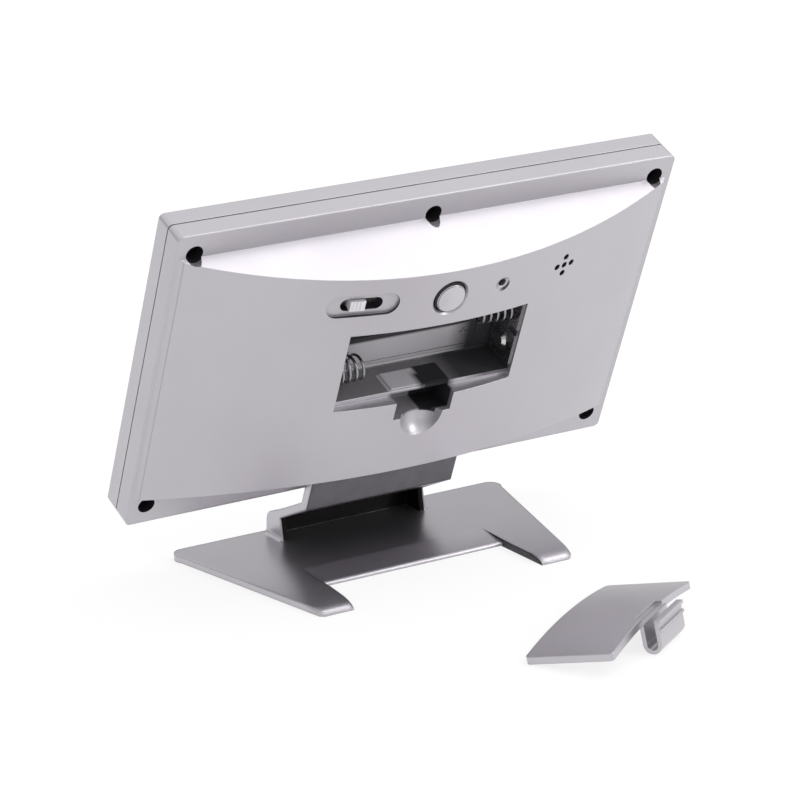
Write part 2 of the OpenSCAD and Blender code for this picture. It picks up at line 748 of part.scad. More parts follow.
module sounder_leads() in_case() color([0.1, 0.1, 0.1])
    for (x = [sounder_x - 1.3, sounder_x + 1.7]) translate([x, 0, row_z - 1.5])
        rod(lead_d, board_rear_y, bulge_y(x) - 2.9);

module case_screws() in_case() color([0.12, 0.12, 0.13])
    for (p = screw_sites) translate([p[0], 0, p[1]]) {
        rod(screw_d, -8.4, -3.9);
        difference() {
            rod(screw_head_d, -4.08, -2.6);
            for (a = [0, 90]) rotate([0, a, 0]) block([-1.1, -3.2, -0.25], [1.1, -2, 0.25]);
        }
    }

// ---- battery contacts ----

// End plate of a cell bay; dir points into the bay along X.
module end_plate(s, z, tail) translate([s * (bay_w / 2 - 0.05), 0, 0]) {
    block([s > 0 ? -contact_t : 0, bay_floor + 0.4, z - contact_half],
          [s > 0 ? 0 : contact_t, contact_top_y, z + contact_half]);
    if (tail)
        block([s > 0 ? -contact_t : 0, board_rear_y, z - 1.5], [s > 0 ? 0 : contact_t, 4, z + 1.5]);
}

module terminal_negative() in_case() color([0.82, 0.82, 0.8])
    end_plate(1, cell_low_z, true);

module terminal_positive() in_case() color([0.82, 0.82, 0.8]) {
    end_plate(1, cell_top_z, true);
    translate([bay_w / 2 - contact_t, cell_y, cell_top_z]) rotate([0, -90, 0])
        cylinder(d1 = spot_d, d2 = spot_tip_d, h = spot_h);
}

module link_contact() in_case() color([0.82, 0.82, 0.8]) {
    end_plate(-1, cell_low_z, false);
    end_plate(-1, cell_top_z, false);
    block([-bay_w / 2 + 0.05, link_low_y, cell_low_z],
          [-bay_w / 2 + 0.05 + contact_t, link_top_y, cell_top_z]);
    translate([-bay_w / 2 + contact_t, cell_y, cell_low_z]) rotate([0, 90, 0])
        cylinder(d1 = spot_d, d2 = spot_tip_d, h = spot_h);
}

// Cell spring: one unbroken tapering coil along its own axis, first turn nearly flat.
spring_steps = 24;
spring_sides = 6;
function spring_total() = ceil((spring_turns + 0.75) * spring_steps);
function spring_at(i) =
    let (t = i / spring_steps, flat = 0.75,
         u = max(0, (t - flat) / spring_turns),
         r = spring_r0 + (spring_r1 - spring_r0) * u,
         x = spring_wire / 2 + min(t, flat) * 1.2
             + u * (spring_len - spring_wire - 1.2 * flat))
    [x, r * cos(360 * t), r * sin(360 * t)];

// Least distance between points a turn or more apart, less the wire.
spring_gap = min([for (i = [0 : spring_total()], j = [i + 18 : spring_total()])
                     if (j <= spring_total()) norm(spring_at(i) - spring_at(j))]) - spring_wire;
echo(spring_gap = spring_gap);

module cell_spring() {
    n = spring_total();
    function tangent(i) =
        let (a = spring_at(max(0, i - 1)), b = spring_at(min(n, i + 1)), d = b - a) d / norm(d);
    function ring(i) =
        let (p = spring_at(i), t = tangent(i), o = [0, p[1], p[2]] / norm([0, p[1], p[2]]),
             side = cross(t, o), s = side / norm(side), q = cross(s, t))
        [for (k = [0 : spring_sides - 1])
            p + spring_wire / 2 * (q * cos(360 * k / spring_sides) + s * sin(360 * k / spring_sides))];
    pts = [for (i = [0 : n]) each ring(i)];
    walls = [for (i = [0 : n - 1], k = [0 : spring_sides - 1])
        let (a = i * spring_sides + k, b = i * spring_sides + (k + 1) % spring_sides)
        each [[a, b, b + spring_sides], [a, b + spring_sides, a + spring_sides]]];
    start = [for (k = [1 : spring_sides - 2]) [0, k + 1, k]];
    last = n * spring_sides;
    end = [for (k = [1 : spring_sides - 2]) [last, last + k, last + k + 1]];
    polyhedron(points = pts, faces = concat(walls, start, end), convexity = 8);
}

module lower_spring() in_case() color([0.85, 0.85, 0.84])
    translate([bay_w / 2 - 0.46, cell_y, cell_low_z]) rotate([0, 180, 0]) rotate([140, 0, 0])
        cell_spring();

module upper_spring() in_case() color([0.85, 0.85, 0.84])
    translate([-bay_w / 2 + 0.46, cell_y, cell_top_z]) rotate([40, 0, 0]) cell_spring();

// ---- battery door ----

module door_plate() {
    difference() {
        intersection() {
            translate([0, bulge_rise - bulge_r, 0]) cylinder(r = bulge_r, h = 90, $fn = big_fn);
            round_block(door_l, door_low, door_top, door_corner_r, 5, 20);
        }
        translate([0, bulge_rise - bulge_r, 0])
            cylinder(r = bulge_r - door_t, h = 90, $fn = big_fn);
        // finger step over the clip
        block([-6.5, bulge_rise - 1, 0], [6.5, 20, door_low + 1.7]);
    }
}

// Clip seen from the end: inner leaf, bend, outer leaf, finger lip and catch.
module clip_side() {
    z_in = door_low + 0.25;
    z_out = clip_outer_z;
    r_out = (z_in - z_out) / 2;
    zc = (z_in + z_out) / 2;
    yc = clip_low_y + r_out;
    translate([yc, zc]) difference() {
        circle(r_out);
        circle(r_out - clip_t);
        translate([0, -10]) square([20, 20]);
    }
    translate([yc - 0.05, z_in - clip_t]) square([bulge_rise - 1.1 - yc, clip_t]);
    translate([yc - 0.05, z_out]) square([bulge_rise - 0.3 - yc, clip_t]);
    translate([bulge_rise - 1.2, z_out - 0.6]) square([0.8, 1]);
    translate([11, z_out - 0.5]) square([0.7, 0.8]);
}

module door_shape() {
    door_plate();
    translate([-clip_w / 2, 0, 0]) rotate([90, 0, 90]) linear_extrude(clip_w) clip_side();
    // tabs that go under the upper rim
    for (s = [-1, 1]) translate([s * tab_x, 0, 0]) {
        block([-tab_w / 2, 11.35, door_top - 3], [tab_w / 2, 12.5, door_top - 0.4]);
        block([-tab_w / 2, 11.35, door_top - 3], [tab_w / 2, 11.95, door_top + tab_reach]);
    }
}

module battery_door() color(rgb(case_c))
    translate([door_x, door_y, door_t * cos(door_roll) + door_lift])
        rotate([0, 0, door_yaw]) rotate([90 + door_roll, 0, 0])
            translate([-door_l / 2, -bulge_y(door_l / 2), -door_top]) door_shape();

// ---- stand ----

// Plate outline with its fork; inset draws the top edge of the legs' noses.
module plate_outline() {
    r = 3;
    fl = plate_front_half;
    rl = plate_rear_half;
    difference() {
        union() {
            polygon([[-fl + r, plate_front_y], [fl - r, plate_front_y],
                     [fl, plate_front_y + r * 0.8], [rl, plate_tip_y - 1], [rl - 1, plate_tip_y],
                     [-rl + 1, plate_tip_y], [-rl, plate_tip_y - 1],
                     [-fl, plate_front_y + r * 0.8]]);
            for (s = [-1, 1]) translate([s * (fl - r * 0.97), plate_front_y + r]) circle(r);
        }
        polygon([[-fork_half, fork_y], [fork_half, fork_y],
                 [fork_tip_half, plate_tip_y + 1], [-fork_tip_half, plate_tip_y + 1]]);
    }
}

// Side outlines along Y and Z, pushed across X.
module across(half) translate([-half, 0, 0]) rotate([90, 0, 90]) linear_extrude(2 * half)
    children();

// A point of the case frame, as world Y and Z.
function side_point(y, z) = [case_y + y * cos(lean) + z * sin(lean),
                             case_z - y * sin(lean) + z * cos(lean)];
riser_low = [-19.15, 7.72];
tongue_rear_low = side_point(tongue_y + tongue_t, tongue_low);
riser_dir = (tongue_rear_low - riser_low) / norm(tongue_rear_low - riser_low);
riser_n = [-riser_dir[1], riser_dir[0]];
tongue_dir = [sin(lean), cos(lean)];
riser_top0 = riser_low + riser_t * riser_n;
tongue_front_low = side_point(tongue_y, tongue_low);
// where the riser's upper face meets the tongue's front face
meet_k = ((riser_top0 - tongue_front_low) * riser_n) / (tongue_dir * riser_n);
riser_meet = tongue_front_low + meet_k * tongue_dir;
neck_front_y = -26.4;

module neck_side()
    polygon([[neck_front_y, 0.5], [neck_front_y + 0.3, 5.6], [neck_front_y + 0.75, 7],
             [neck_front_y + 2, 8.15], [neck_front_y + 4.1, 8.95], riser_top0,
             riser_meet, side_point(tongue_y, tongue_top), side_point(tongue_y + tongue_t, tongue_top),
             tongue_rear_low, riser_low, [-18.2, 2.6], [-17.9, 0.5]]);

module neck_hollow_side()
    polygon([[neck_front_y + neck_wall + 0.2, plate_t], [neck_front_y + neck_wall + 0.4, 5.9],
             [neck_front_y + neck_wall + 1.6, 6.9], riser_low - [3.2, 1.2], riser_low,
             riser_low + [6, -3], riser_low + [6, 2.2 - riser_low[1]], [-10, plate_t]]);

// Cutter that rounds an edge at Y from its top down to a low lip.
module edge_round(y, length, top, low)
    polygon([for (a = [0 : 7.5 : 90]) [y - length + length * sin(a), low + (top - low) * cos(a)],
             [y + 3, low], [y + 3, top + 3], [y - length, top + 3]]);

module stand() color(rgb([150, 148, 155])) {
    difference() {
        linear_extrude(plate_t) plate_outline();
        // ramp down to the fork and its rounded edge
        across(fork_half + 0.3) {
            polygon([[ramp_y, plate_t], [fork_y, fork_t], [plate_tip_y, fork_t - 0.06],
                     [plate_tip_y, 5], [ramp_y, 5]]);
            edge_round(fork_y, fork_round, fork_t, fork_t - fork_round);
        }
        // noses of the legs
        across(60) edge_round(plate_tip_y, nose_l, plate_t, nose_low);
    }
    difference() {
        across(neck_half) neck_side();
        across(neck_half - neck_wall) neck_hollow_side();
    }
    // fillets where the neck's sides meet the plate
    for (s = [-1, 1]) scale([s, 1, 1]) difference() {
        block([neck_half - 0.1, neck_front_y + 0.2, plate_t - 0.3],
              [neck_half + neck_fillet, -18.1, plate_t + neck_fillet]);
        translate([neck_half + neck_fillet, -30, plate_t + neck_fillet]) rotate([-90, 0, 0])
            cylinder(r = neck_fillet, h = 20);
    }
}

// ---- the object ----

stand();
rear_cover();
front_bezel();
display_lens();
lcd_front_glass();
lcd_rear_glass();
lcd_reflector();
lcd_frame();
zebra_strips();
circuit_board();
board_screws();
chip_blob();
crystal_can();
capacitors();
key_switches();
case_screws();
sounder_disc();
sounder_leads();
slide_switch();
slide_switch_leads();
slide_knob();
light_button();
light_switch();
reset_pin();
reset_switch();
mode_key();
set_key();
up_key();
down_key();
snooze_bar();
terminal_negative();
terminal_positive();
link_contact();
lower_spring();
upper_spring();
battery_door();
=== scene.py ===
"""A digital alarm clock on a thin forked stand, seen from behind with its battery door off.

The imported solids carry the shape. This script dresses them, adds what is too fine for them
(the display's digits, the window's printed mask, the cells' outlines in the compartment, the
knob's grip, the round wire of the cell springs) and sets the studio and the camera.
Lengths are written in millimetres of the case's own frame unless a name says otherwise.
"""
import logging
import math
from dataclasses import dataclass
from enum import Enum
from functools import reduce
from typing import Iterable, Sequence

import bmesh
import bpy
from mathutils import Matrix, Vector


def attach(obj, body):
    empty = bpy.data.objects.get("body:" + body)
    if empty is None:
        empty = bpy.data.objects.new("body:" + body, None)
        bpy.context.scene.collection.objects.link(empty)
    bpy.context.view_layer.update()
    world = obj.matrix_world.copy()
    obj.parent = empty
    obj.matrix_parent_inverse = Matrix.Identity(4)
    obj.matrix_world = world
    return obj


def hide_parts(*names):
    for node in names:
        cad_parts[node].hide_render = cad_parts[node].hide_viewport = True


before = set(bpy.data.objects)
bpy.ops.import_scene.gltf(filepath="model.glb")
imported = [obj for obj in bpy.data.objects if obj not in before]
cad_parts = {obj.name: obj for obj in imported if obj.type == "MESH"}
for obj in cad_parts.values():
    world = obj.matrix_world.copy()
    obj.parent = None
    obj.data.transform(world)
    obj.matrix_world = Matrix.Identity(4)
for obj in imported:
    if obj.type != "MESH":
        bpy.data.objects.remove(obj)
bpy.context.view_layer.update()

LOG = logging.getLogger("alarm_clock")
MM = 0.001
Colour = tuple[float, float, float]
Point2 = tuple[float, float]
Point3 = tuple[float, float, float]
Limits = tuple[float, float, float]  # lower limit, upper limit, width of the soft ends
Box = tuple[Limits | None, Limits | None, Limits | None]
Socket = bpy.types.NodeSocket
Material = bpy.types.Material
FULL: Point2 = (0.0, 1.0)


# ---------- the case's own frame ----------


@dataclass(frozen=True)
class CaseFrame:
    """Where the leaning case stands: X across, Y out of its back, Z up its slope."""

    lean_deg: float = 21.86
    foot_y: float = -9.92
    foot_z: float = 18.54
    bulge_rise: float = 14.4
    bulge_radius: float = 178.0

    def matrix(self) -> Matrix:
        """Returns the transform from case millimetres to world metres."""
        return (Matrix.Scale(MM, 4) @ Matrix.Translation((0, self.foot_y, self.foot_z))
                @ Matrix.Rotation(-math.radians(self.lean_deg), 4, "X"))

    def axis(self, index: int) -> Vector:
        """Returns the world direction of the case's X, Y or Z for index 0, 1 or 2."""
        return self.matrix().col[index].xyz.normalized()

    def bulge_at(self, x: float) -> float:
        """Returns the height of the bulged rear face at an X across the case."""
        return self.bulge_rise - self.bulge_radius + math.sqrt(self.bulge_radius ** 2 - x * x)

    def on_back(self, x: float, z: float) -> Matrix:
        """Gives the transform of a spot on the bulged rear face, its Y out of the face.

        Args:
            x: place across the case.
            z: place up the case.

        Returns:
            The transform from local millimetres to world metres.
        """
        turn = math.asin(x / self.bulge_radius)
        return (self.matrix() @ Matrix.Translation((x, self.bulge_at(x), z))
                @ Matrix.Rotation(-turn, 4, "Z"))


CASE = CaseFrame()
SCREW_WELLS: tuple[Point2, ...] = ((-65.0, 5.4), (65.0, 5.4), (-65.0, 81.2), (0.0, 81.2),
                                   (65.0, 81.2))
SOUNDER_AT: Point2 = (-34.7, 67.2)
BUTTON_AT: Point2 = (0.0, 66.3)
RESET_AT: Point2 = (-15.3, 67.1)
SWITCH_AT: Point2 = (24.0, 67.4)
CELL_ROWS: Point2 = (42.7, 53.25)


# ---------- shader building ----------


class NodeSheet:
    """The node tree of one material, with short calls that add and join its nodes."""

    def __init__(self, name: str, tree: bpy.types.NodeTree | None = None) -> None:
        """Starts an empty tree.

        Args:
            name: the material's name.
            tree: a tree to fill instead of a new material's, such as the world's.
        """
        if tree is None:
            self.material = bpy.data.materials.new(name)
            self.material.use_nodes = True
            tree = self.material.node_tree
        self.tree = tree
        self.tree.nodes.clear()

    def add(self, kind: str, sockets: dict[str | int, object] | None = None,
            **settings: object) -> bpy.types.Node:
        """Adds a node, fills its inputs and joins those whose value is a socket.

        Args:
            kind: the node's type without the leading "ShaderNode".
            sockets: input name or index, to a plain value or to another node's output.
            settings: properties of the node itself.

        Returns:
            The new node.
        """
        node = self.tree.nodes.new("ShaderNode" + kind)
        for key, value in settings.items():
            setattr(node, key, value)
        for key, value in (sockets or {}).items():
            if isinstance(value, Socket):
                self.tree.links.new(value, node.inputs[key])
            else:
                node.inputs[key].default_value = value
        return node

    def shown(self) -> Socket:
        """Returns 1 for rays from the camera, off gloss or through glass, otherwise 0."""
        path = self.add("LightPath").outputs
        return self.either(*(path[f"Is {kind} Ray"] for kind in ("Camera", "Glossy",
                                                                 "Transmission")))

    def place(self) -> Socket:
        """Returns the object's own coordinates, in metres."""
        return self.add("TexCoord").outputs["Object"]

    def noise(self, size_mm: float, detail: float = 2.0,
              at: Socket | None = None) -> Socket:
        """Returns smooth noise, 0 to 1, whose patches are about size_mm across."""
        return self.add("TexNoise", {"Vector": at or self.place(), "Scale": 1 / (size_mm * MM),
                                     "Detail": detail}).outputs[0]

    def span(self, value: Socket, low: float, high: float,
             source: Point2 = (0.3, 0.7)) -> Socket:
        """Returns a value mapped from source, by default a noise's middle, to low..high."""
        return self.add("MapRange", {0: value, 1: source[0], 2: source[1], 3: low,
                                     4: high}).outputs[0]

    def without(self, mask: Socket) -> Socket:
        """Returns 1 where a mask is 0, and 0 where it is 1."""
        return self.span(mask, 1.0, 0.0, FULL)

    def shade(self, colour: Colour, gain: Socket) -> Socket:
        """Returns a linear colour times a varying gain."""
        return self.add("VectorMath", {0: colour, "Scale": gain},
                        operation="SCALE").outputs[0]

    def blend(self, fac: Socket, low: Socket | Colour, high: Colour) -> Socket:
        """Returns a mix of two colours: a factor of 0 gives low and 1 gives high."""
        first = low if isinstance(low, Socket) else (*low, 1)
        return self.add("Mix", {0: fac, 6: first, 7: (*high, 1)}, data_type="RGBA").outputs[2]

    def bump(self, height: Socket, depth_mm: float, strength: float = 1.0,
             edge: Socket | float = 0.0) -> Socket:
        """Turns a height into a shading normal.

        Args:
            height: the height, 0 to 1.
            depth_mm: how deep a height of 1 is, in millimetres.
            strength: how much of it is used.
            edge: radius of the rounding that edges show, in metres.

        Returns:
            The normal.
        """
        sockets = {"Height": height, "Distance": depth_mm * MM, "Strength": strength}
        if edge:
            sockets["Normal"] = self.add("Bevel", {"Radius": edge}, samples=8).outputs[0]
        return self.add("Bump", sockets).outputs[0]

    def facing(self, way: Vector | Point3) -> Socket:
        """Returns the cosine of the surface's angle to a direction of length 1."""
        return self.add("VectorMath", {0: self.add("NewGeometry").outputs["True Normal"],
                                       1: tuple(way)}, operation="DOT_PRODUCT").outputs["Value"]

    def axes(self, place: Socket, spot: Matrix) -> Sequence[Socket]:
        """Turns the object's coordinates into those of a spot.

        Args:
            place: the object's coordinates, in metres.
            spot: transform from the spot's millimetres to world metres.

        Returns:
            X, Y and Z in the spot's own millimetres.
        """
        back = spot.inverted()
        local = self.add("Mapping", {"Vector": place, "Location": back.to_translation(),
                                     "Rotation": back.to_euler(), "Scale": back.to_scale()})
        return self.add("SeparateXYZ", {0: local.outputs[0]}).outputs

    def off_axis(self, axes: Sequence[Socket]) -> Socket:
        """Returns how far a place is from the Y axis."""
        flat = self.add("CombineXYZ", {0: axes[0], 2: axes[2]}).outputs[0]
        return self.add("VectorMath", {0: flat}, operation="LENGTH").outputs["Value"]

    def math(self, operation: str, *values: Socket | float) -> Socket:
        """Returns some values joined by one operation, from the first to the last."""
        return reduce(lambda a, b: self.add("Math", {0: a, 1: b}, operation=operation).outputs[0],
                      values)

    def either(self, *values: Socket) -> Socket:
        """Returns the greatest of some values."""
        return self.math("MAXIMUM", *values)

    def both(self, *values: Socket | float) -> Socket:
        """Returns the product of some values, the first of them a socket."""
        return self.math("MULTIPLY", *values)

    def within(self, value: Socket, low: float, high: float, blur: float) -> Socket:
        """Returns 1 where a value lies between two limits, with ends as soft as blur."""
        half = blur / 2
        return self.both(self.span(value, 0.0, 1.0, (low - half, low + half)),
                         self.span(value, 1.0, 0.0, (high - half, high + half)))

    def inside(self, axes: Sequence[Socket], box: Box) -> Socket:
        """Returns 1 inside a box.

        Args:
            axes: the three coordinates.
            box: limits for each of them, or None where any value will do.

        Returns:
            The mask, 0 to 1.
        """
        return self.both(*(self.within(value, *limits) for value, limits in zip(axes, box)
                           if limits))

    def finish(self, sockets: dict[str | int, object]) -> Material:
        """Ends the tree with a principled surface and returns the material."""
        self.add("OutputMaterial", {0: self.add("BsdfPrincipled", sockets).outputs[0]})
        return self.material


class Finish:
    """A surface finish that makes its material once and hands it out."""

    name: str
    _made: dict[str, Material] = {}

    def build(self, sheet: NodeSheet) -> Material:
        """Fills an empty node sheet with this finish and returns its material."""
        raise NotImplementedError

    def material(self) -> Material:
        """Makes the finish's material on first use.

        Returns:
            The material.
        """
        if self.name not in Finish._made:
            Finish._made[self.name] = self.build(NodeSheet(self.name))
        return Finish._made[self.name]

    def dress(self, piece: bpy.types.Object) -> None:
        """Puts the finish on every material slot of a piece.

        Args:
            piece: a CAD node or a piece of this script.
        """
        if not piece.data.materials:
            piece.data.materials.append(self.material())
        for index in range(len(piece.data.materials)):
            piece.data.materials[index] = self.material()


@dataclass(frozen=True)
class Hollow:
    """A hole whose walls get painted shade: a slot, or a round hole where round is set."""

    x: float
    z: float
    width: float
    height: float
    depth: float
    round: bool = True
    on_bulge: bool = True
    deepest: float = 20.0
    mouth_blur: float = 0.12
    wall_blur: float = 0.06

    def mask(self, sheet: NodeSheet, place: Socket) -> Socket:
        """Adds a mask of painted shade on the hollow's own walls.

        Args:
            sheet: the sheet that it is added to.
            place: the object's coordinates.

        Returns:
            1 on the walls and 0 elsewhere.
        """
        spot = (CASE.on_back(self.x, self.z) if self.on_bulge
                else CASE.matrix() @ Matrix.Translation((self.x, 0, self.z)))
        axes = sheet.axes(place, spot)
        across, up = self.width / 2, self.height / 2
        deep: Limits = (-self.deepest, -self.depth, self.mouth_blur)
        if self.round:
            return sheet.both(sheet.within(axes[1], *deep),
                              sheet.within(sheet.off_axis(axes), -1.0, across, self.wall_blur))
        return sheet.inside(axes, ((-across, across, self.wall_blur), deep,
                                   (-up, up, self.wall_blur)))


@dataclass(frozen=True)
class SilverPaint(Finish):
    """Satin metallic paint over a finely spark-eroded moulding."""

    name: str = "silver_paint"
    colour: Colour = (0.531, 0.511, 0.544)
    metal: float = 0.8
    roughness: float = 0.34
    grain_mm: float = 0.5
    grain_depth_mm: float = 0.0012
    edge_mm: float = 0.2
    rim_mm: float = 0.6
    rim_band: Box = (None, (-1.8, 1.0, 0.4), None)
    inside_rim: Box = ((-68.0, 68.0, 1.0), None, (2.0, 84.6, 1.0))
    mottle: float = 0.012
    mottle_mm: float = 24.0
    flake_mm: float = 0.22
    sparkle: float = 0.006
    cloud_mm: float = 14.0
    rough_spread: Point2 = (0.015, 0.02)
    gloss: float = 0.5
    # The next three set the painted shade: its dark colour, roughness and gloss, laid where a
    # mask paints shade.
    dark_part: Colour = (0.02, 0.019, 0.022)
    shade_roughness: float = 0.5
    shade_gloss: float = 0.12

    def painted_shade(self, sheet: NodeSheet, place: Socket) -> Socket | None:
        """Returns where shade is painted into the colour, 0 to 1, or None where none is."""
        return None

    def metallic(self, sheet: NodeSheet, place: Socket) -> Socket | float:
        """Returns how metallic the paint is, 0 to 1."""
        return self.metal

    def edge(self, sheet: NodeSheet, place: Socket) -> Socket:
        """Gives edges a rounding, larger at the case's outer rim.

        Args:
            sheet: the sheet that it is added to.
            place: the object's coordinates.

        Returns:
            The radius in metres.
        """
        axes = sheet.axes(place, CASE.matrix())
        rim = sheet.both(sheet.without(sheet.inside(axes, self.inside_rim)),
                         sheet.inside(axes, self.rim_band))
        return sheet.span(rim, self.edge_mm * MM, self.rim_mm * MM, FULL)

    def build(self, sheet: NodeSheet) -> Material:
        """See Finish.build."""
        place = sheet.place()
        patches = sheet.noise(self.mottle_mm, 3, place)
        flake = sheet.add("TexVoronoi", {"Vector": place, "Scale": 1 / (self.flake_mm * MM)})
        sparkle = sheet.span(flake.outputs["Color"], -self.sparkle, self.sparkle, FULL)
        gain = sheet.math("ADD", sheet.span(patches, 1 - self.mottle, 1 + self.mottle), sparkle)
        grain = sheet.noise(self.grain_mm, 3, place)
        smoother, rougher = self.rough_spread
        rough = sheet.span(sheet.noise(self.cloud_mm, 2, place), self.roughness - smoother,
                           self.roughness + rougher)
        colour = sheet.shade(self.colour, gain)
        metal = self.metallic(sheet, place)
        gloss: Socket | float = self.gloss
        # Painted shade: colour, metal, gloss and roughness go towards the dark shade where the
        # mask is 1.
        dark_part = self.painted_shade(sheet, place)
        if dark_part is not None:
            colour = sheet.blend(dark_part, colour, self.dark_part)
            metal = sheet.both(sheet.without(dark_part), metal)
            gloss = sheet.span(dark_part, self.gloss, self.shade_gloss, FULL)
            rough = sheet.add("Mix", {0: dark_part, 2: rough, 3: self.shade_roughness}).outputs[0]
        return sheet.finish({"Base Color": colour, "Metallic": metal, "Roughness": rough,
                             "Specular IOR Level": gloss,
                             "Normal": sheet.bump(grain, self.grain_depth_mm,
                                                  edge=self.edge(sheet, place))})


@dataclass(frozen=True)
class ButtonPaint(SilverPaint):
    """Paint of the round button, with painted shade on the button's side."""

    name: str = "button_paint"
    colour: Colour = (0.58, 0.56, 0.595)
    # Share of painted shade on the button's side walls.
    side: float = 0.92
    side_turn: Point2 = (0.35, 0.8)

    def painted_shade(self, sheet: NodeSheet, place: Socket) -> Socket | None:
        """See SilverPaint.unpainted."""
        return sheet.span(sheet.facing(CASE.axis(1)), self.side, 0.0, self.side_turn)


@dataclass(frozen=True)
class ShellPaint(SilverPaint):
    """Paint of the rear cover, with painted shade on the walls of its small holes and its
    hollows.

    A field ending in shade is the share of the painted shade, and one named turn holds the
    cosines between which it fades in.
    """

    name: str = "rear_cover_paint"
    roughness: float = 0.4
    # The walls of these holes get painted shade.
    hollows: tuple[Hollow, ...] = (
        *(Hollow(x, z, 4.5, 0, -0.5, on_bulge=False) for x, z in SCREW_WELLS),
        Hollow(*SOUNDER_AT, 8.0, 0, 0.25),
        Hollow(*BUTTON_AT, 9.0, 0, 0.75),
        Hollow(*RESET_AT, 2.1, 0, 0.85),
        Hollow(*SWITCH_AT, 11.2, 3.6, 1.0, round=False),
    )
    inner_metal: float = 0.12
    scoop_box: Box = ((-7.0, -1.6, 1.0), None, (22.0, 31.0, 0.5))
    # Share of painted shade on the scoop's far side.
    scoop_shade: float = 0.6
    # Button's and reset pin's dishes: rings where shade is painted on one half.
    button_ring: Limits = (-1.0, 5.15, 0.1)
    reset_ring: Limits = (1.4, 2.5, 0.1)
    dish_shade: float = 0.92
    dish_turn: Point2 = (0.1, 0.45)
    # Slide switch pocket: painted shade on its side walls.
    pocket_box: Box = ((-9.9, 9.9, 0.1), (-1.4, 0.4, 0.1), (-3.4, 3.4, 0.1))
    pocket_shade: float = 0.95
    pocket_turn: Point2 = (0.5, 0.95)
    # Battery compartment: metal is lowered in it and shade is painted into it.
    room_box: Box = ((-26.4, 26.4, 0.2), (-1.0, 11.0, 0.4), (36.0, 59.6, 0.3))
    far_floor: Point2 = (-19.0, -13.0)
    far_wall: Point2 = (-12.5, -6.0)
    high_part: Point2 = (44.9, 45.6)
    far_shade: float = 0.95
    low_wall_shade: float = 0.7
    upward: Point2 = (0.5, 0.8)
    pad_box: Box = ((-8.4, 9.0, 0.4), (4.3, 10.7, 0.1), (34.0, 38.0, 0.1))
    pad_shadow_box: Box = ((-9.4, 0.3, 2.0), (6.2, 11.6, 2.0), (34.0, 38.0, 0.1))
    latch_box: Box = ((-8.8, -1.0, 1.2), (3.6, 12.9, 0.2), (29.0, 37.6, 0.2))
    latch_side_box: Box = ((-1.0, 8.8, 1.2), (3.6, 12.4, 0.2), (29.0, 36.4, 0.2))
    latch_shade: float = 0.45

    def painted_shade(self, sheet: NodeSheet, place: Socket) -> Socket | None:
        """See SilverPaint.unpainted."""
        small = [hollow.mask(sheet, place) for hollow in self.hollows]
        up = (CASE.axis(0) + CASE.axis(2)).normalized()
        return sheet.either(*small, self.pocket(sheet, place),
                            self.dish(sheet, place, BUTTON_AT, self.button_ring, -up),
                            self.dish(sheet, place, RESET_AT, self.reset_ring, up),
                            self.scoop(sheet, place), self.compartment(sheet, place))

    def metallic(self, sheet: NodeSheet, place: Socket) -> Socket | float:
        """See SilverPaint.metallic: the overspray inside the compartment is dull."""
        room = sheet.inside(sheet.axes(place, CASE.matrix()), self.room_box)
        return sheet.span(room, self.metal, self.inner_metal, FULL)

    def scoop(self, sheet: NodeSheet, place: Socket) -> Socket:
        """Returns painted shade on the far side of the finger scoop."""
        side = sheet.span(sheet.facing(CASE.axis(0)), 0.0, self.scoop_shade)
        return sheet.both(side, sheet.inside(sheet.axes(place, CASE.matrix()), self.scoop_box))

    def dish(self, sheet: NodeSheet, place: Socket, at: Point2, ring: Limits,
             way: Vector) -> Socket:
        """Adds painted shade on the half of a dish that faces a direction.

        Args:
            sheet: the sheet that it is added to.
            place: the object's coordinates.
            at: X and Z of the dish's middle on the bulge.
            ring: inner and outer radius of the shaded part, and their softness.
            way: the direction.

        Returns:
            How much shade is painted, 0 to 1.
        """
        off = sheet.off_axis(sheet.axes(place, CASE.on_back(*at)))
        return sheet.both(sheet.span(sheet.facing(way), 0.0, self.dish_shade, self.dish_turn),
                          sheet.within(off, *ring))

    def pocket(self, sheet: NodeSheet, place: Socket) -> Socket:
        """Returns painted shade on the side walls of the slide switch's pocket."""
        spot = CASE.on_back(*SWITCH_AT)
        return sheet.both(sheet.span(sheet.facing(spot.col[1].xyz.normalized()),
                                     self.pocket_shade, 0.0, self.pocket_turn),
                          sheet.inside(sheet.axes(place, spot), self.pocket_box))

    def compartment(self, sheet: NodeSheet, place: Socket) -> Socket:
        """Paints shade into the colour inside the battery compartment.

        The far end, the top, the pad's back and the latch's room get dark painted shade and
        shadow, and the lower wall and the latch's near side somewhat less.

        Args:
            sheet: the sheet that it is added to.
            place: the object's coordinates.

        Returns:
            How much shade is painted, 0 to 1.
        """
        axes = sheet.axes(place, CASE.matrix())
        far = sheet.span(axes[0], self.far_shade, 0.0, self.far_floor)
        high = sheet.span(axes[2], 0.0, self.far_shade, self.high_part)
        up = sheet.span(sheet.facing(CASE.axis(2)), 0.0, 1.0, self.upward)
        low_wall = sheet.span(axes[0], self.far_shade, self.low_wall_shade, self.far_wall)
        wall = sheet.both(up, low_wall, sheet.without(sheet.inside(axes, self.pad_box)))
        room = sheet.both(sheet.inside(axes, self.room_box), sheet.either(far, high, wall))
        latch_side = sheet.both(sheet.inside(axes, self.latch_side_box), self.latch_shade)
        return sheet.either(room, sheet.inside(axes, self.pad_shadow_box),
                            sheet.inside(axes, self.latch_box), latch_side)


